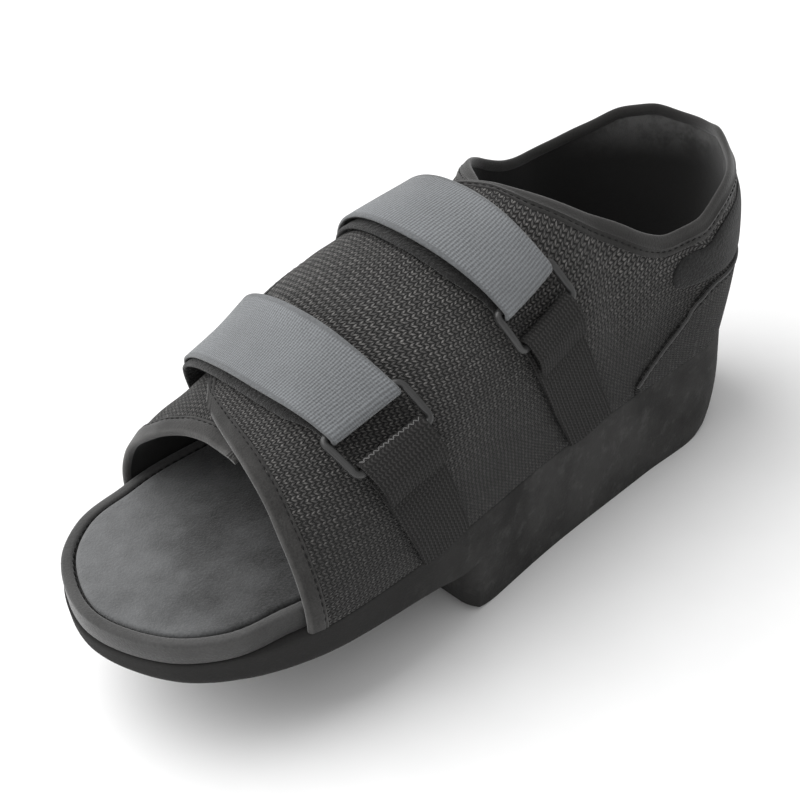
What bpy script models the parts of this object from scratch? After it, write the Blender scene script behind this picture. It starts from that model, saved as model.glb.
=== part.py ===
"""Post-operative shoe on a heel block: an open-toe wrap shoe that fits either foot.

Lengths are metres. X runs from heel to toe, Y to the wearer's left, and Z is up.
The origin is on the floor, on the flat underside of the heel block.
"""

import math
from collections import namedtuple

import bmesh
import bpy
import numpy as np
from mathutils import Vector

# Driving sizes of the last.
SHOE_LENGTH = 0.280
BALL_WIDTH = 0.107
INSTEP_HEIGHT = 0.0780
ORIGIN_FROM_HEEL = 0.085

# Sole: one foam unit, thick as a block under heel and arch and thin under the toes.
SOLE_HEIGHT = 0.040
BLOCK_LENGTH = 0.164
STEP_CLEARANCE = 0.0216
TOE_CLEARANCE = 0.0316
SIDE_TAPER = 0.0023
HEEL_ROLL_HEIGHT = 0.022
HEEL_ROLL_REACH = 0.017
HEEL_ROLL_ZONE = 0.075
FRONT_ROLL_HEIGHT = 0.003
FRONT_ROLL_REACH = 0.014
BLOCK_CORNER_RADIUS = 0.008
STEP_FILLET = 0.004
TOE_EDGE_RADIUS = 0.004
TOE_EDGE_FADE = 0.030
TOP_EDGE = 0.0006
CUT_MARGIN = 0.010

# Footbed: a bound board with a raised rim, and the suede insole laid in it.
FOOTBED_HEIGHT = 0.0080
RIM_WIDTH = 0.0040
RIM_DEPTH = 0.0024
RIM_ROUND = 0.0012
RIM_INSET = 0.0007
FOOTBED_FLARE = 0.009
INSOLE_THICKNESS = 0.0022
INSOLE_GROOVE = 0.0010
INSOLE_ROUND = 0.0018

# Upper: wall, bindings, the lap of its two flaps, and the panels on its heel.
WALL = 0.0026
GAP = 0.0003
FRONT_BINDING = 0.0070
COLLAR_BINDING = 0.0047
BINDING_RAISE = 0.0005
LAP_CLEARANCE = 0.0010
LAP_START = 0.285
LAP_FULL = 0.345
LAP_LOW_ANGLE = 18.0
LAP_HIGH_ANGLE = 68.0
HEEL_INSET = 0.0035
BULGE_HEIGHT = 0.110
COUNTER_THICKNESS = 0.0012
PAD_THICKNESS = 0.0012

# Straps, the loops they pass through, and the webbing that holds the loops.
STRAP_WIDTH = 0.0285
STRAP_NECK = 0.0265
STRAP_THICKNESS = 0.0015
STRAP_BOW = 0.0012
STRAP_NARROWING = 0.030
LAP_STEP_ANGLE = 132.0
LAP_STEP_REACH = 20.0
STRAP_END_RADIUS = 0.009
ANCHOR_WIDTH = 0.0255
ANCHOR_FOOT = 0.0215
ANCHOR_THICKNESS = 0.0014
ANCHOR_TAIL = 0.012
RING_WIRE = 0.0027
RING_DEPTH = 0.0158
RING_CORNER = 0.0020
RING_STEP = 0.007

# How finely the curved pieces are cut.
OUTLINE_POINTS = 72
WALL_ROWS = 14
STRIP_COLUMNS = 30
HEEL_CROWDING = 1.15
PANEL_ROWS = 5

Outline = namedtuple("Outline", "along half_width")
Section = namedtuple("Section", "along ridge fullness bulge")
TopEdge = namedtuple("TopEdge", "along angle")
FrontEdge = namedtuple("FrontEdge", "share along")
PanelEdge = namedtuple("PanelEdge", "along height")
Band = namedtuple("Band", "name ridge_along rake bar_angle end_angle")

# Along is a share of SHOE_LENGTH from the heel, half_width a share of half the BALL_WIDTH.
OUTLINE = [
    Outline(0.000, 0.000),
    Outline(0.025, 0.330),
    Outline(0.100, 0.667),
    Outline(0.250, 0.738),
    Outline(0.429, 0.816),
    Outline(0.607, 0.951),
    Outline(0.714, 0.997),
    Outline(0.814, 0.986),
    Outline(0.900, 0.847),
    Outline(0.964, 0.571),
    Outline(1.000, 0.000),
]

# Ridge is a share of INSTEP_HEIGHT, fullness the exponent of the section's superellipse,
# and bulge a share of half the BALL_WIDTH. Behind the throat the collar is cut below the ridge.
SECTIONS = [
    Section(0.000, 1.67, 3.0, 0.205),
    Section(0.150, 1.67, 3.0, 0.110),
    Section(0.196, 1.52, 3.0, 0.080),
    Section(0.250, 1.33, 2.9, 0.065),
    Section(0.304, 1.14, 2.6, 0.045),
    Section(0.354, 1.02, 2.5, 0.040),
    Section(0.429, 1.00, 2.3, 0.035),
    Section(0.536, 0.945, 2.3, 0.035),
    Section(0.589, 0.885, 2.3, 0.035),
    Section(0.668, 0.715, 2.3, 0.030),
    Section(0.743, 0.605, 2.3, 0.030),
    Section(0.804, 0.525, 2.3, 0.025),
    Section(0.850, 0.42, 2.3, 0.020),
]

# The top edge of each flap from the heel's back to its front corner. The angle is measured in the
# section from the flap's own side of the sole, so past 90 degrees the flap crosses the ridge.
FAN_CENTRE = 0.161
NEAR_TOP = [
    TopEdge(0.000, 59.0),
    TopEdge(0.040, 61.0),
    TopEdge(0.075, 60.7),
    TopEdge(0.120, 59.5),
    TopEdge(0.161, 57.0),
    TopEdge(0.200, 57.0),
    TopEdge(0.230, 59.0),
    TopEdge(0.270, 64.0),
    TopEdge(0.310, 71.5),
    TopEdge(0.340, 82.0),
    TopEdge(0.362, 93.0),
    TopEdge(0.378, 98.0),
    TopEdge(0.446, 107.0),
    TopEdge(0.489, 114.0),
    TopEdge(0.580, 122.0),
    TopEdge(0.660, 124.0),
    TopEdge(0.705, 121.0),
    TopEdge(0.732, 114.0),
    TopEdge(0.750, 108.0),
]
FAR_TOP = [
    TopEdge(0.000, 59.0),
    TopEdge(0.020, 61.7),
    TopEdge(0.040, 61.7),
    TopEdge(0.075, 59.0),
    TopEdge(0.120, 57.0),
    TopEdge(0.161, 57.0),
    TopEdge(0.200, 58.2),
    TopEdge(0.230, 60.5),
    TopEdge(0.270, 65.0),
    TopEdge(0.305, 71.5),
    TopEdge(0.318, 74.0),
    TopEdge(0.336, 80.0),
    TopEdge(0.362, 91.0),
    TopEdge(0.380, 97.0),
    TopEdge(0.400, 100.0),
    TopEdge(0.500, 102.0),
    TopEdge(0.796, 105.0),
]

# The front edge of each flap, from the sole (share 0) up to its corner (share 1).
NEAR_FRONT = [
    FrontEdge(0.00, 0.827),
    FrontEdge(0.17, 0.824),
    FrontEdge(0.31, 0.818),
    FrontEdge(0.45, 0.807),
    FrontEdge(0.62, 0.795),
    FrontEdge(0.81, 0.781),
    FrontEdge(0.93, 0.768),
    FrontEdge(1.00, 0.750),
]
FAR_FRONT = [
    FrontEdge(0.00, 0.828),
    FrontEdge(0.10, 0.827),
    FrontEdge(0.20, 0.824),
    FrontEdge(0.39, 0.821),
    FrontEdge(0.53, 0.811),
    FrontEdge(0.69, 0.800),
    FrontEdge(0.82, 0.796),
    FrontEdge(1.00, 0.796),
]

# Panels on the heel: heights are shares of INSTEP_HEIGHT above the sole's top.
COUNTER_TOP = [
    PanelEdge(0.000, 0.375),
    PanelEdge(0.121, 0.398),
    PanelEdge(0.179, 0.234),
    PanelEdge(0.240, 0.060),
]
PAD_BOTTOM = [
    PanelEdge(0.000, 0.392),
    PanelEdge(0.121, 0.425),
    PanelEdge(0.193, 0.455),
]

# Each strap crosses the ridge at ridge_along and runs back by rake for each unit that it drops.
# It passes the top bar of its loop at bar_angle. Its loose end lies at end_angle on the far side.
BANDS = [
    Band("front", 0.677, 0.26, 57.0, 146.0),
    Band("rear", 0.456, 0.36, 64.0, 142.0),
]

MATERIALS = {
    "sole_foam": ((0.022, 0.022, 0.024), 0.75),
    "footbed_binding": ((0.080, 0.080, 0.084), 0.80),
    "insole_suede": ((0.130, 0.130, 0.132), 0.95),
    "spacer_knit": ((0.030, 0.030, 0.032), 0.90),
    "binding_tape": ((0.075, 0.075, 0.080), 0.85),
    "heel_felt": ((0.045, 0.045, 0.048), 0.95),
    "strap_loop": ((0.150, 0.150, 0.155), 0.85),
    "webbing": ((0.035, 0.035, 0.037), 0.80),
    "ring_plastic": ((0.100, 0.102, 0.106), 0.40),
}


def smooth(share):
    """A smooth step from 0 to 1 as share goes from 0 to 1."""
    share = min(max(share, 0.0), 1.0)
    return share * share * (3.0 - 2.0 * share)


def read_table(table, key, value, at):
    """Reads one column of a table at a station, along a smooth curve that doesn't overshoot."""
    stations = [getattr(row, key) for row in table]
    values = [getattr(row, value) for row in table]
    if at <= stations[0]:
        return values[0]
    if at >= stations[-1]:
        return values[-1]
    piece = int(np.searchsorted(stations, at, side="right")) - 1
    widths = np.diff(stations)
    slopes = np.diff(values) / widths
    tangents = [slopes[0]]
    for before, after in zip(slopes[:-1], slopes[1:]):
        same_way = before * after > 0
        tangents.append(2 * before * after / (before + after) if same_way else 0.0)
    tangents.append(slopes[-1])
    t = (at - stations[piece]) / widths[piece]
    leave = widths[piece] * tangents[piece]
    arrive = widths[piece] * tangents[piece + 1]
    start = (2 * t**3 - 3 * t**2 + 1) * values[piece] + (t**3 - 2 * t**2 + t) * leave
    end = (3 * t**2 - 2 * t**3) * values[piece + 1] + (t**3 - t**2) * arrive
    return start + end


def curve_through(points, steps):
    """A smooth curve through 2-D points whose ends meet their mirror image across the X axis."""
    points = [np.array(p) for p in points]
    mirror = np.array([1.0, -1.0])
    points = [points[1] * mirror] + points + [points[-2] * mirror]
    knots = [0.0]
    for a, b in zip(points[:-1], points[1:]):
        knots.append(knots[-1] + math.sqrt(np.linalg.norm(b - a)))
    curve = []
    for i in range(1, len(points) - 2):
        p0, p1, p2, p3 = points[i - 1 : i + 3]
        t0, t1, t2, t3 = knots[i - 1 : i + 3]
        for t in np.linspace(t1, t2, steps, endpoint=False):
            a1 = ((t1 - t) * p0 + (t - t0) * p1) / (t1 - t0)
            a2 = ((t2 - t) * p1 + (t - t1) * p2) / (t2 - t1)
            a3 = ((t3 - t) * p2 + (t - t2) * p3) / (t3 - t2)
            b1 = ((t2 - t) * a1 + (t - t0) * a2) / (t2 - t0)
            b2 = ((t3 - t) * a2 + (t - t1) * a3) / (t3 - t1)
            curve.append(((t2 - t) * b1 + (t - t1) * b2) / (t2 - t1))
    curve.append(points[-2])
    return np.array(curve)


def path_lengths(points):
    """Distance along a polyline to each of its points."""
    steps = np.linalg.norm(np.diff(points, axis=0), axis=1)
    return np.concatenate([[0.0], np.cumsum(steps)])


NEAR_OUTLINE = curve_through(
    [(row.along * SHOE_LENGTH, row.half_width * BALL_WIDTH / 2) for row in OUTLINE], 24
)


def outline_ring(inset_at):
    """The sole's outline as OUTLINE_POINTS points in the plane, moved inwards by inset_at(along)."""
    far = NEAR_OUTLINE[-2:0:-1] * np.array([1.0, -1.0])
    loop = np.vstack([NEAR_OUTLINE, far, NEAR_OUTLINE[:1]])
    lengths = path_lengths(loop)
    targets = np.linspace(0.0, lengths[-1], OUTLINE_POINTS, endpoint=False)
    ring = np.column_stack([np.interp(targets, lengths, loop[:, i]) for i in range(2)])
    tangent = np.roll(ring, -1, axis=0) - np.roll(ring, 1, axis=0)
    inwards = np.column_stack([tangent[:, 1], -tangent[:, 0]])
    inwards /= np.linalg.norm(inwards, axis=1)[:, None]
    insets = np.array([inset_at(along) for along in ring[:, 0]])
    return ring + inwards * insets[:, None]


def half_width(along):
    """Half the sole's width at a distance along it from the heel."""
    return float(np.interp(along, NEAR_OUTLINE[:, 0], NEAR_OUTLINE[:, 1]))


def place(along, across, height):
    """A point from its distance from the heel, its distance left, and its height over the floor."""
    return Vector((along - ORIGIN_FROM_HEEL, across, height))


def new_object(name, vertices, faces, material):
    """Makes an object from vertices and faces, with its faces turned outwards."""
    mesh = bpy.data.meshes.new(name)
    mesh.from_pydata([tuple(v) for v in vertices], [], faces)
    shape = bmesh.new()
    shape.from_mesh(mesh)
    bmesh.ops.recalc_face_normals(shape, faces=shape.faces)
    shape.to_mesh(mesh)
    shape.free()
    mesh.shade_smooth()
    mesh.set_sharp_from_angle(angle=math.radians(35))
    obj = bpy.data.objects.new(name, mesh)
    bpy.context.collection.objects.link(obj)
    if material:
        mesh.materials.append(finish(name, material))
    return obj


def finish(name, kind):
    """A plain material of its own for each object."""
    colour, roughness = MATERIALS[kind]
    material = bpy.data.materials.new(name + "_" + kind)
    material.use_nodes = True
    shader = material.node_tree.nodes["Principled BSDF"]
    shader.inputs["Base Color"].default_value = (*colour, 1.0)
    shader.inputs["Roughness"].default_value = roughness
    shader.inputs["Metallic"].default_value = 0.0
    return material


def loft(name, rings, material):
    """A closed solid through rings of equally many points, the first and last filled flat."""
    count = len(rings[0])
    vertices = [point for ring in rings for point in ring]
    faces = [tuple(range(count))[::-1]]
    for level in range(len(rings) - 1):
        for i in range(count):
            j = (i + 1) % count
            low, high = level * count, (level + 1) * count
            faces.append((low + i, low + j, high + j, high + i))
    faces.append(tuple(range((len(rings) - 1) * count, len(rings) * count)))
    return new_object(name, vertices, faces, material)


def sheet(name, outer, inner, material):
    """A closed solid between two grids of points, outer[column][row] and inner[column][row]."""
    columns, rows = len(outer), len(outer[0])
    vertices = [p for column in outer for p in column] + [p for column in inner for p in column]
    offset = columns * rows
    faces = []
    for i in range(columns - 1):
        for j in range(rows - 1):
            a, b = i * rows + j, (i + 1) * rows + j
            faces.append((a, b, b + 1, a + 1))
            faces.append((offset + a, offset + a + 1, offset + b + 1, offset + b))
    for i in range(columns - 1):
        for j in (0, rows - 1):
            a, b = i * rows + j, (i + 1) * rows + j
            faces.append((a, b, offset + b, offset + a))
    for j in range(rows - 1):
        for i in (0, columns - 1):
            a = i * rows + j
            faces.append((a, a + 1, offset + a + 1, offset + a))
    return new_object(name, vertices, faces, material)


def tube(name, points, side, radius, material, sides=8):
    """A round bar bent into a closed ring through points; side is the ring's axis at each point."""
    count = len(points)
    vertices = []
    for i, point in enumerate(points):
        ahead = (points[(i + 1) % count] - points[i - 1]).normalized()
        out = side[i].cross(ahead).normalized()
        up = ahead.cross(out).normalized()
        for k in range(sides):
            turn = 2 * math.pi * (k + 0.5) / sides
            vertices.append(point + (out * math.cos(turn) + up * math.sin(turn)) * radius)
    faces = []
    for i in range(count):
        for k in range(sides):
            a, b = i * sides, ((i + 1) % count) * sides
            faces.append((a + k, a + (k + 1) % sides, b + (k + 1) % sides, b + k))
    return new_object(name, vertices, faces, material)


# The sole

def heel_roll(along, height):
    """How far the heel's back is drawn forwards at a height, a quarter round that fades along the side."""
    if height >= HEEL_ROLL_HEIGHT:
        return 0.0
    drop = 1.0 - height / HEEL_ROLL_HEIGHT
    fade = max(0.0, 1.0 - along / HEEL_ROLL_ZONE)
    return HEEL_ROLL_REACH * (1.0 - math.sqrt(1.0 - drop * drop)) * fade * fade


def toe_curl(along, height):
    """Extra inset that rounds the lower edge of the thin toe plate."""
    under = underside(along)
    if along < BLOCK_LENGTH or height > under + TOE_EDGE_RADIUS:
        return 0.0
    drop = min((under + TOE_EDGE_RADIUS - height) / TOE_EDGE_RADIUS, 1.0)
    fade = smooth((along - BLOCK_LENGTH) / TOE_EDGE_FADE)
    return TOE_EDGE_RADIUS * (1.0 - math.sqrt(1.0 - drop * drop)) * fade


def underside(along):
    """Height of the toe plate's underside over the floor: it rises to the toe."""
    share = (along - BLOCK_LENGTH) / (SHOE_LENGTH - BLOCK_LENGTH)
    return STEP_CLEARANCE + (TOE_CLEARANCE - STEP_CLEARANCE) * min(max(share, 0.0), 1.0)


def build_outsole():
    """The foam unit: the whole outline to the floor, less what is cut away in front of the block."""
    levels = [0.0, 0.0015, 0.005, 0.010, 0.016, HEEL_ROLL_HEIGHT, 0.026]
    levels += [0.0300, 0.0335, SOLE_HEIGHT - 0.001, SOLE_HEIGHT]
    rings = []
    for height in levels:
        taper = SIDE_TAPER * (1.0 - height / SOLE_HEIGHT)
        lip = TOP_EDGE if height == SOLE_HEIGHT else 0.0
        ring = outline_ring(lambda along: taper + lip + toe_curl(along, height))
        rings.append([place(x + heel_roll(x, height), y, height) for x, y in ring])
    sole = loft("outsole", rings, "sole_foam")
    for cutter in (arch_cutter(), corner_cutter(1), corner_cutter(-1)):
        cut = sole.modifiers.new("cut", "BOOLEAN")
        cut.operation = "DIFFERENCE"
        cut.solver = "EXACT"
        cut.object = cutter
    return sole


def arch_cutter():
    """What is cut from the outline in front of the block, as a side view drawn right across the shoe."""
    below = -CUT_MARGIN
    front = SHOE_LENGTH + CUT_MARGIN
    profile = [(BLOCK_LENGTH - FRONT_ROLL_REACH, below), (BLOCK_LENGTH - FRONT_ROLL_REACH, 0.0)]
    for share in (0.35, 0.65, 0.85, 1.0):
        along = BLOCK_LENGTH - FRONT_ROLL_REACH * (1.0 - share)
        profile.append((along, FRONT_ROLL_HEIGHT * share * share))
    for step in range(5):
        turn = math.radians(22.5 * step)
        along = BLOCK_LENGTH + STEP_FILLET * (1.0 - math.cos(turn))
        profile.append((along, STEP_CLEARANCE - STEP_FILLET * (1.0 - math.sin(turn))))
    profile += [(front, underside(front)), (front, below)]
    across = BALL_WIDTH * 0.7
    rings = [[place(x, y, z) for x, z in profile] for y in (-across, across)]
    return as_cutter(loft("arch_cutter", rings, None))


def corner_cutter(side):
    """Rounds the block's front corner as seen from above."""
    half = half_width(BLOCK_LENGTH) - SIDE_TAPER / 2
    centre = (BLOCK_LENGTH - BLOCK_CORNER_RADIUS, half - BLOCK_CORNER_RADIUS)
    plan = []
    for step in range(7):
        turn = math.radians(15 * step)
        forwards = BLOCK_CORNER_RADIUS * math.cos(turn)
        outwards = BLOCK_CORNER_RADIUS * math.sin(turn)
        plan.append((centre[0] + forwards, centre[1] + outwards))
    plan += [(centre[0], half + CUT_MARGIN), (BLOCK_LENGTH + STEP_FILLET, half + CUT_MARGIN)]
    plan.append((BLOCK_LENGTH + STEP_FILLET, centre[1]))
    rings = [[place(x, side * y, z) for x, y in plan] for z in (-CUT_MARGIN, STEP_CLEARANCE)]
    return as_cutter(loft("corner_cutter_" + ("left" if side > 0 else "right"), rings, None))


def as_cutter(obj):
    """Marks an object as a tool that isn't part of the shoe."""
    obj.hide_render = True
    obj.display_type = "WIRE"
    return obj


def footbed_inset(along):
    """The footbed keeps inside the upper's wall, and comes out to the sole's edge in front of it."""
    heel = HEEL_INSET * (1.0 - smooth(along / (FAN_CENTRE * SHOE_LENGTH)))
    inside = WALL + BINDING_RAISE + 3 * GAP + heel
    out = smooth((along - FRONT_OPENING) / FOOTBED_FLARE)
    return inside * (1.0 - out) + RIM_INSET * out


# Where the footbed comes free of the flaps and starts to widen.
FRONT_OPENING = max(row.along for row in NEAR_FRONT + FAR_FRONT) * SHOE_LENGTH + 0.003


def build_footbed():
    """The bound board under the foot: a tray whose rim stands round the insole."""
    base = SOLE_HEIGHT + GAP
    top = SOLE_HEIGHT + FOOTBED_HEIGHT
    steps = [
        (0.0, base),
        (0.0, top - RIM_ROUND),
        (RIM_ROUND * 0.3, top - RIM_ROUND * 0.3),
        (RIM_ROUND, top),
        (RIM_WIDTH - RIM_ROUND, top),
        (RIM_WIDTH - RIM_ROUND * 0.3, top - RIM_ROUND * 0.3),
        (RIM_WIDTH, top - RIM_ROUND),
        (RIM_WIDTH, top - RIM_DEPTH),
    ]
    rings = []
    for inset, height in steps:
        ring = outline_ring(lambda along: footbed_inset(along) + inset)
        rings.append([place(x, y, height) for x, y in ring])
    return loft("footbed", rings, "footbed_binding")


def build_insole():
    """The suede insole that lies in the footbed's tray."""
    base = SOLE_HEIGHT + FOOTBED_HEIGHT - RIM_DEPTH + GAP
    edge = RIM_WIDTH + INSOLE_GROOVE
    steps = [
        (edge, base),
        (edge, base + INSOLE_THICKNESS * 0.55),
        (edge + INSOLE_ROUND * 0.3, base + INSOLE_THICKNESS * 0.85),
        (edge + INSOLE_ROUND, base + INSOLE_THICKNESS),
    ]
    rings = []
    for inset, height in steps:
        ring = outline_ring(lambda along: footbed_inset(along) + inset)
        rings.append([place(x, y, height) for x, y in ring])
    return loft("insole", rings, "insole_suede")


# The last: one surface that the upper and all that lies on it are drawn on

FAN_X = FAN_CENTRE * SHOE_LENGTH
HEEL_ARC = NEAR_OUTLINE[NEAR_OUTLINE[:, 0] <= FAN_X]
FAN_PATH = path_lengths(HEEL_ARC)[-1]
FAN_ANGLES = np.arctan2(HEEL_ARC[:, 1], FAN_X - HEEL_ARC[:, 0])
FAN_RADII = np.hypot(HEEL_ARC[:, 1], FAN_X - HEEL_ARC[:, 0])


def path_of(along):
    """Distance round the last from the heel's back to a station on its side."""
    if along >= FAN_X:
        return FAN_PATH + along - FAN_X
    arc = path_lengths(HEEL_ARC)
    return float(np.interp(along, HEEL_ARC[:, 0], arc))


def along_of(path):
    """The station on the side at a distance round the last from the heel's back."""
    if path >= FAN_PATH:
        return FAN_X + path - FAN_PATH
    return float(np.interp(path, path_lengths(HEEL_ARC), HEEL_ARC[:, 0]))


def last_point(path, angle, side):
    """A point on the last: path round it from the heel's back, angle up its section, side +1 or -1."""
    along = along_of(abs(path)) if path > 0 else 0.0
    if path >= FAN_PATH:
        centre, half, forwards, outwards = along, half_width(along), 0.0, 1.0
    else:
        arc = path_lengths(HEEL_ARC)
        turn = float(np.interp(max(path, 0.0), arc, FAN_ANGLES))
        centre, half = FAN_X, float(np.interp(turn, FAN_ANGLES, FAN_RADII))
        half -= HEEL_INSET * (1.0 - smooth(turn / (math.pi / 2)))
        forwards, outwards = -math.cos(turn), math.sin(turn)
    share = along / SHOE_LENGTH
    ridge = read_table(SECTIONS, "along", "ridge", share) * INSTEP_HEIGHT
    power = read_table(SECTIONS, "along", "fullness", share)
    bulge = read_table(SECTIONS, "along", "bulge", share) * BALL_WIDTH / 2
    cosine, sine = math.cos(angle), math.sin(angle)
    reach = ((abs(cosine) / half) ** power + (abs(sine) / ridge) ** power) ** (-1.0 / power)
    across, up = reach * cosine, reach * sine
    across += bulge * math.sin(math.pi * min(up / BULGE_HEIGHT, 1.0)) * across / half
    return place(centre + forwards * across, side * outwards * across, SOLE_HEIGHT + up)


def on_last(path, angle, side, height):
    """A point that stands a height off the last."""
    step = 0.0008
    turn = math.radians(0.8)
    along = last_point(path + step, angle, side) - last_point(path, angle, side)
    up = last_point(path, angle + turn, side) - last_point(path, angle, side)
    normal = along.cross(up) * -side
    return last_point(path, angle, side) + normal.normalized() * height


def lap_lift(path, angle, side):
    """How far the near flap stands off the last, to lie over the far flap."""
    if side < 0:
        return 0.0
    full = WALL + 2 * BINDING_RAISE + LAP_CLEARANCE
    start, end = path_of(LAP_START * SHOE_LENGTH), path_of(LAP_FULL * SHOE_LENGTH)
    rise = smooth((path - start) / (end - start))
    share = (math.degrees(angle) - LAP_LOW_ANGLE) / (LAP_HIGH_ANGLE - LAP_LOW_ANGLE)
    return full * rise * smooth(share)


# The upper

def flap_point(side, u, v, height):
    """A point on a flap: u from the heel's back to its front edge, v from the sole to its top edge."""
    top, front = (NEAR_TOP, NEAR_FRONT) if side > 0 else (FAR_TOP, FAR_FRONT)
    top_path = u * path_of(front[-1].along * SHOE_LENGTH)
    angle = v * math.radians(read_table(top, "along", "angle", along_of(top_path) / SHOE_LENGTH))
    path = u * path_of(read_table(front, "share", "along", v) * SHOE_LENGTH)
    return on_last(path, angle, side, height + lap_lift(path, angle, side))


def column_length(side, u):
    """Length of a flap's wall from the sole to its top edge at u."""
    points = [flap_point(side, u, v, 0.0) for v in np.linspace(0.0, 1.0, 9)]
    return sum((b - a).length for a, b in zip(points[:-1], points[1:]))


def flap_length(side):
    """Length of a flap from the heel's back to its front edge, half way up."""
    points = [flap_point(side, u, 0.5, 0.0) for u in np.linspace(0.0, 1.0, 25)]
    return sum((b - a).length for a, b in zip(points[:-1], points[1:]))


def flap_stations(side, end):
    """Where the wall is cut into columns: evenly, and at the turns of the top edge past the throat."""
    top, front = (NEAR_TOP, NEAR_FRONT) if side > 0 else (FAR_TOP, FAR_FRONT)
    whole = path_of(front[-1].along * SHOE_LENGTH)
    turns = [path_of(row.along * SHOE_LENGTH) / whole for row in top if 0.34 < row.along < 0.41]
    even = [(i / STRIP_COLUMNS) ** HEEL_CROWDING for i in range(STRIP_COLUMNS + 1)]
    kept = [u for u in even if all(abs(u - turn) > 0.012 for turn in turns)]
    return [u for u in sorted(kept + turns) if u < end - 0.001] + [end]


def edge_slant(side, u):
    """How much wider a band along the top edge is when it is measured straight up the wall."""
    step = 0.006
    a, b = (flap_point(side, min(max(u + d, 0.0), 1.0), 1.0, 0.0) for d in (-step, step))
    low, high = (flap_point(side, min(max(u + d, 0.0), 1.0), 0.97, 0.0) for d in (-step, step))
    run = (b - a).normalized()
    up = ((a - low) + (b - high)).normalized()
    return min(1.0 / max(run.cross(up).length, 0.01), 2.4)


def wall_grids(stations, rows_at, thick_out, thick_in):
    """Outer and inner grids over both flaps; stations are signed, plus for the near flap."""
    outer, inner = [], []
    for signed in stations:
        side = 1 if signed >= 0 else -1
        u = abs(signed)
        rows = rows_at(side, u)
        outer.append([flap_point(side, u, v, thick_out) for v in rows])
        inner.append([flap_point(side, u, v, -thick_in) for v in rows])
    return outer, inner


def signed_stations(near_end, far_end):
    """Columns from the far flap's front, round the heel, to the near flap's front."""
    far = [-u for u in flap_stations(-1, far_end)[:0:-1]]
    return far + flap_stations(1, near_end)


def build_upper():
    """The knit wall: one sheet from front edge to front edge round the heel, open at collar and toe."""
    near_end = 1.0 - (FRONT_BINDING + GAP) / flap_length(1)
    far_end = 1.0 - (FRONT_BINDING + GAP) / flap_length(-1)

    def rows_at(side, u):
        length = column_length(side, u)
        bottom = GAP / length
        top = 1.0 - (COLLAR_BINDING + 1.5 * GAP) * edge_slant(side, u) / length
        return [bottom + (top - bottom) * j / WALL_ROWS for j in range(WALL_ROWS + 1)]

    outer, inner = wall_grids(signed_stations(near_end, far_end), rows_at, 0.0, WALL)
    return sheet("upper", outer, inner, "spacer_knit")


def build_collar_binding():
    """The tape round the top edge of both flaps, from one front corner to the other."""

    def rows_at(side, u):
        start = 1.0 - COLLAR_BINDING * edge_slant(side, u) / column_length(side, u)
        return [start, start * 0.65 + 0.35, start * 0.25 + 0.75, 1.0]

    outer, inner = wall_grids(signed_stations(1.0, 1.0), rows_at, BINDING_RAISE, WALL + BINDING_RAISE)
    return sheet("collar_binding", outer, inner, "binding_tape")


def build_front_binding(side):
    """The tape round the front edge of a flap, below the collar binding."""
    start = 1.0 - FRONT_BINDING / flap_length(side)
    columns = [start, start * 0.5 + 0.5, 1.0]
    outer, inner = [], []
    for u in columns:
        length = column_length(side, u)
        bottom = GAP / length
        top = 1.0 - (COLLAR_BINDING + GAP) * edge_slant(side, u) / length
        rows = [bottom + (top - bottom) * j / (WALL_ROWS + 3) for j in range(WALL_ROWS + 4)]
        outer.append([flap_point(side, u, v, BINDING_RAISE) for v in rows])
        inner.append([flap_point(side, u, v, -WALL - BINDING_RAISE) for v in rows])
    name = "front_binding_" + ("near" if side > 0 else "far")
    return sheet(name, outer, inner, "binding_tape")


# Panels on the heel

def share_at_height(side, u, up):
    """How far up a flap, as its share v, the wall is at a height over the sole's top."""
    shares = np.linspace(0.0, 1.0, 40)
    heights = [flap_point(side, u, v, 0.0).z - SOLE_HEIGHT for v in shares]
    return float(np.interp(up, heights, shares))


def panel_edge(table, side, u):
    """How far up a flap the edge of a panel is, from the panel's table of heights."""
    front = NEAR_FRONT if side > 0 else FAR_FRONT
    along = along_of(u * path_of(front[-1].along * SHOE_LENGTH))
    height = read_table(table, "along", "height", along / SHOE_LENGTH) * INSTEP_HEIGHT
    return share_at_height(side, u, height)


def heel_panel(name, end_along, bottom_at, top_at, thickness, material):
    """A panel on the outside of the heel, the same on both sides, between two edges."""
    ends = [path_of(end_along) / path_of(front[-1].along * SHOE_LENGTH) for front in (NEAR_FRONT, FAR_FRONT)]
    outer, inner = [], []
    for signed in signed_stations(*ends):
        side = 1 if signed >= 0 else -1
        u = abs(signed)
        low, high = bottom_at(side, u), top_at(side, u)
        rows = [low + (high - low) * j / PANEL_ROWS for j in range(PANEL_ROWS + 1)]
        outer.append([flap_point(side, u, v, GAP + thickness) for v in rows])
        inner.append([flap_point(side, u, v, GAP) for v in rows])
    return sheet(name, outer, inner, material)


def build_heel_counter():
    """The stiffener's cover: low at the front of the heel and up to the pad at the back."""
    return heel_panel(
        "heel_counter",
        COUNTER_TOP[-1].along * SHOE_LENGTH,
        lambda side, u: 4 * GAP / column_length(side, u),
        lambda side, u: panel_edge(COUNTER_TOP, side, u),
        COUNTER_THICKNESS,
        "spacer_knit",
    )


def build_heel_pad():
    """The felt pad between the counter and the collar's binding."""
    return heel_panel(
        "heel_pad",
        PAD_BOTTOM[-1].along * SHOE_LENGTH,
        lambda side, u: panel_edge(PAD_BOTTOM, side, u),
        lambda side, u: 1.0 - (COLLAR_BINDING + 4 * GAP) * edge_slant(side, u) / column_length(side, u),
        PAD_THICKNESS,
        "heel_felt",
    )


# Straps, loops and anchors, each drawn flat on a chart that is wrapped over the last

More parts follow.
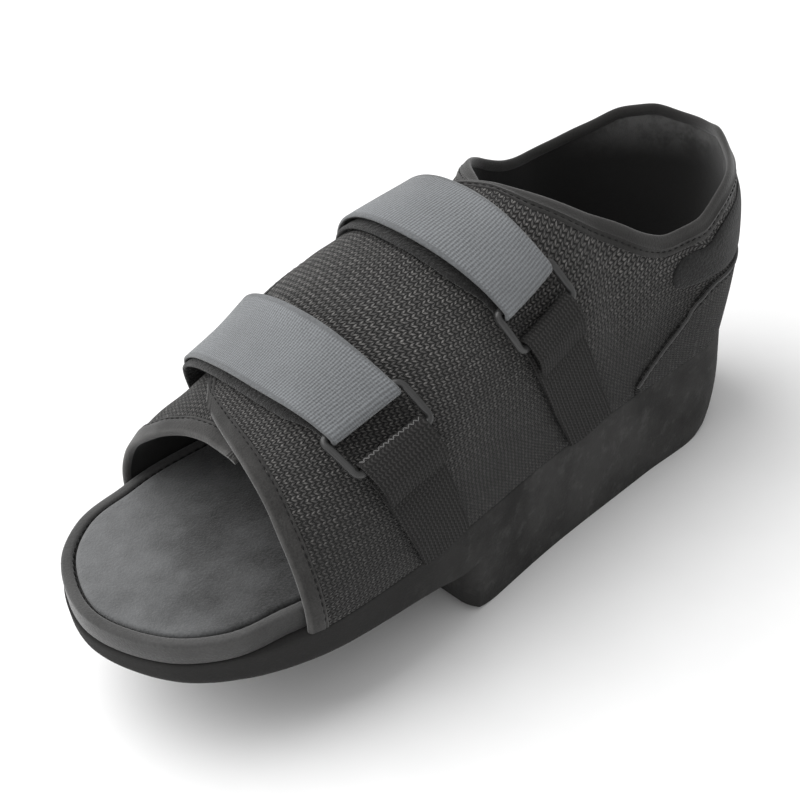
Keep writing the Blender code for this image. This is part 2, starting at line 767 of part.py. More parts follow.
class Chart:
    """Wraps a flat drawing over the shoe: across the strap, round from the ridge, and off the surface."""

    def __init__(self, band):
        self.ridge = band.ridge_along * SHOE_LENGTH
        self.rake = band.rake
        self.angles = np.radians(np.linspace(1.0, 179.0, 120))
        points = [self.centre(angle) for angle in self.angles]
        lengths = path_lengths(np.array([tuple(p) for p in points]))
        middle = float(np.interp(math.pi / 2, self.angles, lengths))
        self.girths = middle - lengths
        self.alongs = np.array([p.x + ORIGIN_FROM_HEEL for p in points])

    def centre(self, angle):
        """A point of the strap's centre line, which runs back as it goes down."""
        top = last_point(path_of(self.ridge), math.pi / 2, 1)
        level = last_point(path_of(self.ridge), angle, 1)
        along = self.ridge - self.rake * (top.z - level.z)
        return last_point(path_of(along), angle, 1)

    def girth(self, angle):
        """Distance round from the ridge to an angle, plus towards the near side."""
        return float(np.interp(angle, self.angles, self.girths))

    def angle(self, girth):
        """The angle at a distance round from the ridge."""
        return float(np.interp(-girth, -self.girths, self.angles))

    def along(self, girth):
        """The station of the centre line at a distance round from the ridge."""
        return float(np.interp(-girth, -self.girths, self.alongs))

    def seat(self, girth):
        """Height of what the strap lies on: the lapped flap, its binding, and then the far flap."""
        angle = self.angle(girth)
        lift = lap_lift(path_of(self.along(girth)), angle, 1)
        down = smooth((math.degrees(angle) - LAP_STEP_ANGLE) / LAP_STEP_REACH)
        return (lift + BINDING_RAISE) * (1.0 - down) + 2.1 * GAP

    def point(self, across, girth, height):
        """The point in space of a point on the flat drawing."""
        reach = 0.002
        slope = (self.along(girth - reach) - self.along(girth + reach)) / (2 * reach)
        size = math.hypot(1.0, slope)
        along = self.along(girth) + across / size
        angle = self.angle(girth + across * slope / size)
        return on_last(path_of(along), angle, 1, height)


def ribbon(name, chart, path, half_widths, thickness, material):
    """A flat ribbon along a path of (girth, height) points on a chart."""
    path = np.array(path)
    ahead = np.gradient(path, axis=0)
    ahead /= np.linalg.norm(ahead, axis=1)[:, None]
    aside = np.column_stack([-ahead[:, 1], ahead[:, 0]]) * thickness / 2
    outer, inner = [], []
    for (girth, height), (dg, dh), half in zip(path, aside, half_widths):
        shares = (-1.0, -0.35, 0.35, 1.0)
        outer.append([chart.point(half * s, girth + dg, height + dh) for s in shares])
        inner.append([chart.point(half * s, girth - dg, height - dh) for s in shares])
    return sheet(name, outer, inner, material)


def bar_height(chart, girth):
    """Height of a loop's bar, with the strap's lower layer under it."""
    return chart.seat(girth) + STRAP_THICKNESS + GAP + RING_WIRE / 2


def strap_half(girth, bar):
    """Half the strap's width, drawn in a little where it goes through the loop."""
    near = smooth(1.0 - abs(girth - bar) / STRAP_NARROWING)
    return (STRAP_WIDTH - (STRAP_WIDTH - STRAP_NECK) * near) / 2


def build_strap(band, chart):
    """One strap: sewn down at the far side, over the vamp, round the loop's bar and back over itself."""
    bar = chart.girth(math.radians(band.bar_angle))
    high = bar_height(chart, bar)
    fold = RING_WIRE / 2 + GAP + STRAP_THICKNESS / 2
    path, widths = [], []
    for girth in np.linspace(chart.girth(math.radians(178.6)), bar - 0.004, 17):
        path.append((girth, chart.seat(girth) + STRAP_THICKNESS / 2))
        widths.append(strap_half(girth, bar))
    for turn in np.radians(np.linspace(0.0, 180.0, 7)):
        path.append((bar + fold * math.sin(turn), high - fold * math.cos(turn)))
        widths.append(STRAP_NECK / 2)
    end = chart.girth(math.radians(band.end_angle))
    lowest, highest = GAP, RING_WIRE + 2 * GAP
    for share in np.linspace(0.06, 1.0, 17):
        girth = bar + (end - bar) * share
        lift = lowest + (highest - lowest) * (1.0 - smooth(share * 1.15))
        lift += STRAP_BOW * math.sin(math.pi * min(share * 1.1, 1.0))
        path.append((girth, chart.seat(girth) + 1.5 * STRAP_THICKNESS + lift))
        left = max(girth - end, 0.0)
        cut = 0.0
        if left < STRAP_END_RADIUS:
            cut = STRAP_END_RADIUS - math.sqrt(STRAP_END_RADIUS**2 - (STRAP_END_RADIUS - left) ** 2)
        widths.append(strap_half(girth, bar) - cut * 0.9)
    return ribbon("strap_" + band.name, chart, path, widths, STRAP_THICKNESS, "strap_loop")


def low_bar(band, chart):
    """Distance round to the loop's lower bar."""
    return chart.girth(math.radians(band.bar_angle)) + RING_DEPTH - RING_WIRE


def build_anchor(band, chart):
    """The webbing that is sewn into the sole's edge and holds the loop's lower bar in its fold."""
    bar = low_bar(band, chart)
    high = bar_height(chart, bar)
    fold = RING_WIRE / 2 + GAP + ANCHOR_THICKNESS / 2
    path = []
    for girth in np.linspace(chart.girth(math.radians(1.4)), bar + 0.004, 12):
        near_bar = smooth(1.0 - (girth - bar - 0.004) / 0.010)
        flat = GAP + BINDING_RAISE + lap_lift(path_of(chart.along(girth)), chart.angle(girth), 1)
        path.append((girth, (flat + ANCHOR_THICKNESS / 2) * (1 - near_bar) + (high - fold) * near_bar))
    for turn in np.radians(np.linspace(0.0, 180.0, 7)):
        path.append((bar - fold * math.sin(turn), high - fold * math.cos(turn)))
    top = high + fold
    for share in (0.35, 0.7, 1.0):
        girth = bar + ANCHOR_TAIL * share
        low = GAP + BINDING_RAISE + lap_lift(path_of(chart.along(girth)), chart.angle(girth), 1)
        low += 1.5 * ANCHOR_THICKNESS + GAP
        near_bar = smooth(1.0 - (girth - bar - 0.004) / 0.010)
        low = max(low, (low + 0.0004) * (1 - near_bar) + top * near_bar)
        path.append((girth, low))
    foot = path[0][0]
    shares = [smooth((foot - girth) / (foot - bar)) for girth, _ in path]
    widths = [(ANCHOR_FOOT + (ANCHOR_WIDTH - ANCHOR_FOOT) * share) / 2 for share in shares]
    return ribbon("anchor_" + band.name, chart, path, widths, ANCHOR_THICKNESS, "webbing")


def build_ring(band, chart):
    """The rectangular loop between strap and anchor."""
    top = chart.girth(math.radians(band.bar_angle))
    half_long = STRAP_NECK / 2 + GAP + RING_WIRE / 2
    half_deep = (RING_DEPTH - RING_WIRE) / 2
    middle = top + half_deep
    flat = []
    corners = [(1, 1, 0), (-1, 1, 90), (-1, -1, 180), (1, -1, 270)]
    for sx, sy, start in corners:
        for turn in np.radians(np.linspace(start, start + 90, 5)):
            flat.append((
                sx * (half_long - RING_CORNER) + RING_CORNER * math.cos(turn),
                sy * (half_deep - RING_CORNER) + RING_CORNER * math.sin(turn),
            ))
    dense = []
    for a, b in zip(flat, flat[1:] + flat[:1]):
        pieces = max(1, round(math.dist(a, b) / RING_STEP))
        for k in range(pieces):
            share = k / pieces
            dense.append((a[0] + (b[0] - a[0]) * share, a[1] + (b[1] - a[1]) * share))
    points, axes = [], []
    ends = [bar_height(chart, middle - half_deep), bar_height(chart, middle + half_deep)]
    for across, girth in dense:
        share = (girth + half_deep) / (2 * half_deep)
        height = ends[0] + (ends[1] - ends[0]) * min(max(share, 0.0), 1.0)
        point = chart.point(across, middle + girth, height)
        points.append(point)
        axes.append(chart.point(across, middle + girth, height + 0.001) - point)
    return tube("ring_" + band.name, points, axes, RING_WIRE / 2, "ring_plastic")


def main():
    for obj in list(bpy.data.objects):
        bpy.data.objects.remove(obj, do_unlink=True)
    build_outsole()
    build_footbed()
    build_insole()
    build_upper()
    build_collar_binding()
    build_front_binding(1)
    build_front_binding(-1)
    build_heel_counter()
    build_heel_pad()
    for band in BANDS:
        chart = Chart(band)
        build_strap(band, chart)
        build_anchor(band, chart)
        build_ring(band, chart)


main()
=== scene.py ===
# %% [markdown]
# # A post-operative shoe, dressed for its photograph
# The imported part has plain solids. They have the right sizes, but a real shoe of this kind is knit, tape,
# webbing and suede. This lesson replaces each solid by a finer piece on the same surface and gives
# it a finish made of nodes. Nothing is moved, so the dressed shoe still fits the solids.

# %% Load the frame and keep its box
import math

import bmesh
import bpy
import numpy as np
from mathutils import Matrix, Vector


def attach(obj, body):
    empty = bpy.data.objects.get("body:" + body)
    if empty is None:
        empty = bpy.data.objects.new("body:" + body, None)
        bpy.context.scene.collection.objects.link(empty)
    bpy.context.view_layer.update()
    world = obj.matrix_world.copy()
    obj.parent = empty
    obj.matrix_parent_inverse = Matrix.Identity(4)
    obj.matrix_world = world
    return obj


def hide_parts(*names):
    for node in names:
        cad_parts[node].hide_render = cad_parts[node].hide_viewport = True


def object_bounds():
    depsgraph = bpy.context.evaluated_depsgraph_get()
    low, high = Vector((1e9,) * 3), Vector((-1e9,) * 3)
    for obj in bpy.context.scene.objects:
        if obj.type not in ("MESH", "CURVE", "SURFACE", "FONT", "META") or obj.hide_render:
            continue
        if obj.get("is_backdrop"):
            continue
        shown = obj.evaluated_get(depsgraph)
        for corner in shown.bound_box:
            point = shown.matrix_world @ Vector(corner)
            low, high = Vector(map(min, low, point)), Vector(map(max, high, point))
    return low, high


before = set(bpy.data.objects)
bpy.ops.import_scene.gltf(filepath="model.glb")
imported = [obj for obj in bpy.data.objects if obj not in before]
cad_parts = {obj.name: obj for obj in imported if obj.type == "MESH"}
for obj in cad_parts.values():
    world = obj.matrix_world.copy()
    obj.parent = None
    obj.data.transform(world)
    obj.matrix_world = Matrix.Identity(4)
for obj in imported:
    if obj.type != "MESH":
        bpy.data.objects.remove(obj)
cad_box = [list(corner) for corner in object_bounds()]
print("solids:", len(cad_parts), "box:", cad_box)

# %% [markdown]
# ## The sizes of the shoe
# Every piece is drawn from the same few lengths, in metres: the sole, the footbed, the wall of the
# upper and the straps. They repeat the sizes of the solids, because a piece that is drawn from other
# numbers would float off the part or sink into it. Naming them once also lets a reader change one.

# %% Sizes
SHOE_LENGTH, BALL_WIDTH, INSTEP_HEIGHT = 0.280, 0.107, 0.0780
ORIGIN_FROM_HEEL = 0.085
SOLE_HEIGHT, BLOCK_LENGTH = 0.040, 0.164
STEP_CLEARANCE, TOE_CLEARANCE = 0.0216, 0.0316
SIDE_TAPER, STEP_FILLET, TOE_EDGE_RADIUS, TOE_EDGE_FADE = 0.0023, 0.004, 0.004, 0.030
HEEL_ROLL_HEIGHT, HEEL_ROLL_REACH, HEEL_ROLL_ZONE = 0.022, 0.017, 0.075
FRONT_ROLL_HEIGHT, FRONT_ROLL_REACH, BLOCK_CORNER_RADIUS = 0.003, 0.014, 0.008
TOP_EDGE, CUT_MARGIN = 0.0006, 0.010
FOOTBED_HEIGHT, RIM_WIDTH, RIM_DEPTH, RIM_ROUND, RIM_INSET = 0.0080, 0.0040, 0.0024, 0.0012, 0.0007
INSOLE_THICKNESS, INSOLE_GROOVE, INSOLE_ROUND = 0.0022, 0.0010, 0.0018
WALL, GAP = 0.0026, 0.0003
FRONT_BINDING, COLLAR_BINDING, BINDING_RAISE = 0.0070, 0.0047, 0.0005
LAP_CLEARANCE, LAP_START, LAP_FULL, LAP_LOW_ANGLE, LAP_HIGH_ANGLE = 0.0010, 0.285, 0.345, 18.0, 68.0
HEEL_INSET, BULGE_HEIGHT, FAN_CENTRE = 0.0035, 0.110, 0.161
COUNTER_THICKNESS, PAD_THICKNESS = 0.0012, 0.0012
STRAP_WIDTH, STRAP_NECK, STRAP_THICKNESS = 0.0285, 0.0265, 0.0015
STRAP_NARROWING, STRAP_END_RADIUS, LAP_STEP_ANGLE, LAP_STEP_REACH = 0.030, 0.009, 132.0, 20.0
ANCHOR_WIDTH, ANCHOR_FOOT, ANCHOR_THICKNESS, ANCHOR_TAIL = 0.0255, 0.0215, 0.0014, 0.012
RING_WIRE, RING_DEPTH, RING_CORNER = 0.0027, 0.0158, 0.0020
MM = 0.001
print("length, width and instep in mm:", [round(size / MM, 1) for size in (SHOE_LENGTH, BALL_WIDTH, INSTEP_HEIGHT)])

# %% [markdown]
# ## Curves from short tables
# A shoe's outline and edges are free curves. They could be drawn by hand as Bezier curves, but a
# table of stations with a smooth reading between them is easier to change and gives the same result
# on each run. The reading never overshoots its table, so an edge has no bumps that nobody asked for.

# %% Tables of the outline, the sections and the edges
OUTLINE = [
    (0.000, 0.000), (0.025, 0.330), (0.100, 0.667), (0.250, 0.738), (0.429, 0.816), (0.607, 0.951),
    (0.714, 0.997), (0.814, 0.986), (0.900, 0.847), (0.964, 0.571), (1.000, 0.000),
]
SECTIONS = np.array([
    (0.000, 1.67, 3.0, 0.205), (0.150, 1.67, 3.0, 0.110), (0.196, 1.52, 3.0, 0.080),
    (0.250, 1.33, 2.9, 0.065), (0.304, 1.14, 2.6, 0.045), (0.354, 1.02, 2.5, 0.040),
    (0.429, 1.00, 2.3, 0.035), (0.536, 0.945, 2.3, 0.035), (0.589, 0.885, 2.3, 0.035),
    (0.668, 0.715, 2.3, 0.030), (0.743, 0.605, 2.3, 0.030), (0.804, 0.525, 2.3, 0.025),
    (0.850, 0.42, 2.3, 0.020),
])
NEAR_TOP = [
    (0.000, 59.0), (0.040, 61.0), (0.075, 60.7), (0.120, 59.5), (0.161, 57.0), (0.200, 57.0),
    (0.230, 59.0), (0.270, 64.0), (0.310, 71.5), (0.340, 82.0), (0.362, 93.0), (0.378, 98.0),
    (0.446, 107.0), (0.489, 114.0), (0.580, 122.0), (0.660, 124.0), (0.705, 121.0), (0.732, 114.0),
    (0.750, 108.0),
]
FAR_TOP = [
    (0.000, 59.0), (0.020, 61.7), (0.040, 61.7), (0.075, 59.0), (0.120, 57.0), (0.161, 57.0),
    (0.200, 58.2), (0.230, 60.5), (0.270, 65.0), (0.305, 71.5), (0.318, 74.0), (0.336, 80.0),
    (0.362, 91.0), (0.380, 97.0), (0.400, 100.0), (0.500, 102.0), (0.796, 105.0),
]
NEAR_FRONT = [
    (0.00, 0.827), (0.17, 0.824), (0.31, 0.818), (0.45, 0.807), (0.62, 0.795), (0.81, 0.781),
    (0.93, 0.768), (1.00, 0.750),
]
FAR_FRONT = [
    (0.00, 0.828), (0.10, 0.827), (0.20, 0.824), (0.39, 0.821), (0.53, 0.811), (0.69, 0.800),
    (0.82, 0.796), (1.00, 0.796),
]
COUNTER_TOP = [(0.000, 0.375), (0.121, 0.398), (0.179, 0.234), (0.240, 0.060)]
PAD_BOTTOM = [(0.000, 0.392), (0.121, 0.425), (0.193, 0.455)]
BANDS = {"front": (0.677, 0.26, 57.0, 146.0), "rear": (0.456, 0.36, 64.0, 142.0)}


def smooth(share):
    """A smooth step from 0 to 1, for numbers and arrays."""
    share = np.clip(share, 0.0, 1.0)
    return share * share * (3.0 - 2.0 * share)


def read_table(rows, at, column=1):
    """One column of a table at one or many stations, along a smooth curve."""
    rows = np.array(rows, float)
    stations, values = rows[:, 0], rows[:, column]
    widths = np.diff(stations)
    slopes = np.diff(values) / widths
    before, after = slopes[:-1], slopes[1:]
    total = np.where(before * after > 0, before + after, 1.0)
    inner = np.where(before * after > 0, 2 * before * after / total, 0.0)
    tangents = np.concatenate([slopes[:1], inner, slopes[-1:]])
    at = np.clip(np.asarray(at, float), stations[0], stations[-1])
    piece = np.clip(np.searchsorted(stations, at, side="right") - 1, 0, len(widths) - 1)
    t = (at - stations[piece]) / widths[piece]
    leave, arrive = widths[piece] * tangents[piece], widths[piece] * tangents[piece + 1]
    start = (2 * t**3 - 3 * t**2 + 1) * values[piece] + (t**3 - 2 * t**2 + t) * leave
    return start + (3 * t**2 - 2 * t**3) * values[piece + 1] + (t**3 - t**2) * arrive


print("collar angle over the heel:", float(read_table(NEAR_TOP, 0.0)))

# %% Outline of the sole
def curve_through(points, steps):
    """A smooth curve through points, which meets its mirror image at both ends."""
    points = [np.array(p) for p in points]
    mirror = np.array([1.0, -1.0])
    points = [points[1] * mirror] + points + [points[-2] * mirror]
    knots = [0.0]
    for a, b in zip(points[:-1], points[1:]):
        knots.append(knots[-1] + math.sqrt(np.linalg.norm(b - a)))
    curve = []
    for i in range(1, len(points) - 2):
        p0, p1, p2, p3 = points[i - 1 : i + 3]
        t0, t1, t2, t3 = knots[i - 1 : i + 3]
        for t in np.linspace(t1, t2, steps, endpoint=False):
            a1 = ((t1 - t) * p0 + (t - t0) * p1) / (t1 - t0)
            a2 = ((t2 - t) * p1 + (t - t1) * p2) / (t2 - t1)
            a3 = ((t3 - t) * p2 + (t - t2) * p3) / (t3 - t2)
            b1 = ((t2 - t) * a1 + (t - t0) * a2) / (t2 - t0)
            b2 = ((t3 - t) * a2 + (t - t1) * a3) / (t3 - t1)
            curve.append(((t2 - t) * b1 + (t - t1) * b2) / (t2 - t1))
    curve.append(points[-2])
    return np.array(curve)


def lengths_along(points):
    """Distance along a line of points to each of them."""
    steps = np.linalg.norm(np.diff(points, axis=0), axis=1)
    return np.concatenate([[0.0], np.cumsum(steps)])


SIDE_LINE = curve_through([(a * SHOE_LENGTH, w * BALL_WIDTH / 2) for a, w in OUTLINE], 24)


def outline_ring(inset, count):
    """Count points round the sole, moved inwards by inset, a function of the distance from the heel."""
    far = SIDE_LINE[-2:0:-1] * np.array([1.0, -1.0])
    loop = np.vstack([SIDE_LINE, far, SIDE_LINE[:1]])
    lengths = lengths_along(loop)
    targets = np.linspace(0.0, lengths[-1], count, endpoint=False)
    ring = np.column_stack([np.interp(targets, lengths, loop[:, i]) for i in range(2)])
    tangent = np.roll(ring, -2, axis=0) - np.roll(ring, 2, axis=0)
    inwards = np.column_stack([tangent[:, 1], -tangent[:, 0]])
    inwards /= np.linalg.norm(inwards, axis=1)[:, None]
    return ring + inwards * inset(ring[:, 0])[:, None]


def half_width(along):
    return np.interp(along, SIDE_LINE[:, 0], SIDE_LINE[:, 1])


print("widest half of the sole in mm:", round(float(SIDE_LINE[:, 1].max()) / MM, 1))

# %% [markdown]
# ## The last
# A shoemaker draws an upper on a last, the form of the foot. Here the last is one formula: at each
# place along the side a rounded section stands over the sole, and round the heel the sections turn
# like a fan. The flaps, tapes, straps and panels are all placed on it by a path round the shoe, an
# angle up the section and a height off the surface. One formula keeps the layers parallel.

# %% Points on the last
FAN_X = FAN_CENTRE * SHOE_LENGTH
HEEL_ARC = SIDE_LINE[SIDE_LINE[:, 0] <= FAN_X]
ARC_LENGTHS = lengths_along(HEEL_ARC)
FAN_PATH = ARC_LENGTHS[-1]
FAN_ANGLES = np.arctan2(HEEL_ARC[:, 1], FAN_X - HEEL_ARC[:, 0])
FAN_RADII = np.hypot(HEEL_ARC[:, 1], FAN_X - HEEL_ARC[:, 0])


def path_of(along):
    """Distance round the last from the heel's back to a station on its side."""
    along = np.asarray(along, float)
    return np.where(along >= FAN_X, FAN_PATH + along - FAN_X, np.interp(along, HEEL_ARC[:, 0], ARC_LENGTHS))


def along_of(path):
    """The station on the side at a distance round the last."""
    path = np.asarray(path, float)
    return np.where(path >= FAN_PATH, FAN_X + path - FAN_PATH, np.interp(path, ARC_LENGTHS, HEEL_ARC[:, 0]))


def last(path, angle, side):
    """Points on the last, with the three coordinates on the last axis of the array."""
    path, angle, side = np.broadcast_arrays(np.asarray(path, float), angle, side)
    level = np.maximum(path, 0.0)
    along = along_of(level)
    fan = path < FAN_PATH
    turn = np.interp(level, ARC_LENGTHS, FAN_ANGLES)
    fan_half = np.interp(turn, FAN_ANGLES, FAN_RADII) - HEEL_INSET * (1.0 - smooth(turn / (math.pi / 2)))
    half = np.where(fan, fan_half, half_width(along))
    centre = np.where(fan, FAN_X, along)
    forwards, outwards = np.where(fan, -np.cos(turn), 0.0), np.where(fan, np.sin(turn), 1.0)
    share = along / SHOE_LENGTH
    ridge = read_table(SECTIONS, share, 1) * INSTEP_HEIGHT
    power = read_table(SECTIONS, share, 2)
    bulge = read_table(SECTIONS, share, 3) * BALL_WIDTH / 2
    cosine, sine = np.cos(angle), np.sin(angle)
    reach = ((np.abs(cosine) / half) ** power + (np.abs(sine) / ridge) ** power) ** (-1.0 / power)
    across, up = reach * cosine, reach * sine
    across = across + bulge * np.sin(math.pi * np.clip(up / BULGE_HEIGHT, 0.0, 1.0)) * across / half
    x = centre + forwards * across - ORIGIN_FROM_HEEL
    return np.stack([x, side * outwards * across, SOLE_HEIGHT + up], axis=-1)


def unit(vectors):
    return vectors / np.maximum(np.linalg.norm(vectors, axis=-1, keepdims=True), 1e-12)


def off_last(path, angle, side, height):
    """Points that stand a height off the last."""
    point = last(path, angle, side)
    ahead = last(np.asarray(path) + 0.0008, angle, side) - point
    up = last(path, np.asarray(angle) + math.radians(0.8), side) - point
    normal = unit(np.cross(ahead, up) * -np.asarray(side, float)[..., None])
    return point + normal * np.asarray(height, float)[..., None]


def lap_lift(path, angle, side):
    """The near flap lies over the far one, so it stands off the last from the throat forwards."""
    full = WALL + 2 * BINDING_RAISE + LAP_CLEARANCE
    start, end = path_of(LAP_START * SHOE_LENGTH), path_of(LAP_FULL * SHOE_LENGTH)
    rise = smooth((np.asarray(path) - start) / (end - start))
    share = (np.degrees(angle) - LAP_LOW_ANGLE) / (LAP_HIGH_ANGLE - LAP_LOW_ANGLE)
    return np.where(np.asarray(side) > 0, full * rise * smooth(share), 0.0)


print("distance round the heel's fan in mm:", round(float(FAN_PATH) / MM, 1))

# %% Points on the two flaps
NEAR_END, FAR_END = float(path_of(NEAR_FRONT[-1][1] * SHOE_LENGTH)), float(path_of(FAR_FRONT[-1][1] * SHOE_LENGTH))


def eased_edge(table, other, whole, peak, reach=0.0032):
    """The angles of a top edge at even steps of the path, eased as a sewn tape eases its corners."""
    step = 0.0005
    places = np.arange(-0.03, whole + 0.03, step)
    ahead = read_table(table, along_of(np.clip(places, 0.0, whole)) / SHOE_LENGTH)
    behind = read_table(other, along_of(np.clip(-places, 0.0, whole)) / SHOE_LENGTH)
    angles = np.where(places >= 0, ahead, behind) + 1.3 * np.exp(-(((places - peak) / 0.006) ** 2))
    weights = np.exp(-((np.arange(-40, 41) * step / reach) ** 2))
    return places, np.convolve(np.pad(angles, 40, mode="edge"), weights / weights.sum(), mode="valid")


HEEL_PEAK = 0.015
NEAR_EDGE = eased_edge(NEAR_TOP, FAR_TOP, NEAR_END, HEEL_PEAK)
FAR_EDGE = eased_edge(FAR_TOP, NEAR_TOP, FAR_END, -HEEL_PEAK)


def flap(signed, v, height):
    """Points on a flap: signed runs from -1, the far front, by 0, the heel's back, to 1, the near front."""
    signed, v, height = np.broadcast_arrays(np.asarray(signed, float), v, height)
    near = signed >= 0
    side, u = np.where(near, 1.0, -1.0), np.abs(signed)
    top_path = u * np.where(near, NEAR_END, FAR_END)
    degrees = np.where(near, np.interp(top_path, *NEAR_EDGE), np.interp(top_path, *FAR_EDGE))
    angle = v * np.radians(degrees)
    reach = np.where(near, read_table(NEAR_FRONT, v), read_table(FAR_FRONT, v)) * SHOE_LENGTH
    path = u * path_of(reach)
    return off_last(path, angle, side, height + lap_lift(path, angle, side))


def wall_length(signed):
    """Length of the wall from the sole to the top edge, at each station."""
    points = flap(np.asarray(signed)[:, None], np.linspace(0.0, 1.0, 17)[None, :], 0.0)
    return np.linalg.norm(np.diff(points, axis=1), axis=2).sum(axis=1)


def flap_length(side):
    points = flap(side * np.linspace(0.0, 1.0, 61), 0.5, 0.0)
    return float(np.linalg.norm(np.diff(points, axis=0), axis=1).sum())


def edge_slant(signed):
    """How much wider a band along the top edge is when it is measured straight up the wall."""
    signed = np.asarray(signed, float)
    back, front = np.clip(signed - 0.006, -1.0, 1.0), np.clip(signed + 0.006, -1.0, 1.0)
    a, b = flap(back, 1.0, 0.0), flap(front, 1.0, 0.0)
    run = unit(b - a)
    up = unit(a - flap(back, 0.97, 0.0) + b - flap(front, 0.97, 0.0))
    return np.minimum(1.0 / np.maximum(np.linalg.norm(np.cross(run, up), axis=1), 0.01), 2.4)


NEAR_LENGTH, FAR_LENGTH = flap_length(1.0), flap_length(-1.0)
print("flaps in mm, near and far:", round(NEAR_LENGTH / MM), round(FAR_LENGTH / MM))

# %% [markdown]
# ## Meshes from grids
# Cloth, tape and webbing are all long strips with a closed section. Extruding faces by hand would
# work for one of them, but a helper that joins rows of points into a skin serves them all. Each
# vertex also stores where it lies on the flat cloth, in metres, so that a weave can follow the piece
# round every bend. The seams of an unwrapped map would break it.

# %% Helpers that make the pieces
def skin(name, points, finishes, cloth=None, wrap_rows=False, wrap_ring=True, caps=True, pick=None, sharp=42):
    """A mesh from rows of points. Each row is a section, and pick gives the finish of each face."""
    rows, count = points.shape[:2]
    mesh = bpy.data.meshes.new(name)
    row_pairs = [(i, (i + 1) % rows) for i in range(rows if wrap_rows else rows - 1)]
    ring_pairs = [(j, (j + 1) % count) for j in range(count if wrap_ring else count - 1)]
    faces = [(a * count + j, b * count + j, b * count + k, a * count + k) for a, b in row_pairs for j, k in ring_pairs]
    slots = [pick(a, j) if pick else 0 for a, b in row_pairs for j, k in ring_pairs]
    if caps and not wrap_rows:
        faces += [tuple(range(count))[::-1], tuple(range((rows - 1) * count, rows * count))]
        slots += [0, 0]
    mesh.from_pydata(points.reshape(-1, 3).tolist(), [], faces)
    shape = bmesh.new()
    shape.from_mesh(mesh)
    bmesh.ops.recalc_face_normals(shape, faces=shape.faces)
    shape.to_mesh(mesh)
    shape.free()
    for finish in finishes:
        mesh.materials.append(finish)
    mesh.polygons.foreach_set("material_index", slots)
    flat = points if cloth is None else cloth
    store = mesh.attributes.new("cloth", "FLOAT_VECTOR", "POINT")
    store.data.foreach_set("vector", np.ascontiguousarray(flat.reshape(-1, 3), dtype=np.float32).ravel())
    mesh.shade_smooth()
    mesh.set_sharp_from_angle(angle=math.radians(sharp))
    piece = bpy.data.objects.new(name, mesh)
    bpy.context.collection.objects.link(piece)
    return piece


def dress(piece, *nodes):
    """The piece goes with the shoe and stands for these solids."""
    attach(piece, "root")
    if nodes:
        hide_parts(*nodes)
    print(piece.name, len(piece.data.polygons), "faces, for", ", ".join(nodes) or "no solid")
    return piece


def with_zero(columns):
    """Flat cloth coordinates from two columns of numbers."""
    a, b = np.broadcast_arrays(*columns)
    return np.stack([a, b, np.zeros_like(a)], axis=-1)


# %% Stitches
def stitch_row(name, points, normals, spacing, length, width, finish, zigzag=0.0):
    """Short thread loops along a line of points, each pressed a little into the cloth."""
    along = lengths_along(points)
    count = max(2, int(along[-1] / spacing))
    places = (np.arange(count) + 0.5) * along[-1] / count
    centres = np.column_stack([np.interp(places, along, points[:, i]) for i in range(3)])
    nexts = np.column_stack([np.interp(places + 0.0004, along, points[:, i]) for i in range(3)])
    pasts = np.column_stack([np.interp(places - 0.0004, along, points[:, i]) for i in range(3)])
    ups = unit(np.column_stack([np.interp(places, along, normals[:, i]) for i in range(3)]))
    aheads = unit(nexts - pasts)
    asides = unit(np.cross(ups, aheads))
    swing = np.where(np.arange(count) % 2 == 0, zigzag, -zigzag)[:, None]
    turned = unit(aheads * np.cos(swing) + asides * np.sin(swing))
    rings = [(-0.5, 0.0, -0.35), (-0.42, 0.6, 0.0), (0.0, 1.0, 0.12), (0.42, 0.6, 0.0), (0.5, 0.0, -0.35)]
    vertices, faces = [], []
    for centre, ahead, up in zip(centres, turned, ups):
        aside = np.cross(up, ahead)
        first = len(vertices)
        for reach, size, rise in rings:
            for k in range(6):
                turn = 2 * math.pi * k / 6
                out = aside * math.cos(turn) + up * math.sin(turn)
                vertices.append(centre + ahead * reach * length + up * rise * width + out * (size * width / 2 + 1e-5))
        for i in range(len(rings) - 1):
            for k in range(6):
                a, b = first + i * 6 + k, first + i * 6 + (k + 1) % 6
                faces.append((a, b, b + 6, a + 6))
    mesh = bpy.data.meshes.new(name)
    mesh.from_pydata([tuple(v) for v in vertices], [], faces)
    mesh.materials.append(finish)
    mesh.shade_smooth()
    piece = bpy.data.objects.new(name, mesh)
    bpy.context.collection.objects.link(piece)
    return dress(piece)


print("a stitch has", 4 * 6, "faces")

# %% [markdown]
# ## Node maths that reads like arithmetic
# A finish is a formula: light on the crown of a yarn, dark between two rows. Wiring Math nodes by
# hand hides that formula. The small class below wraps a socket, so that plus, minus, times and
# divide between sockets and numbers each add a Math node. Any other node comes from one method.

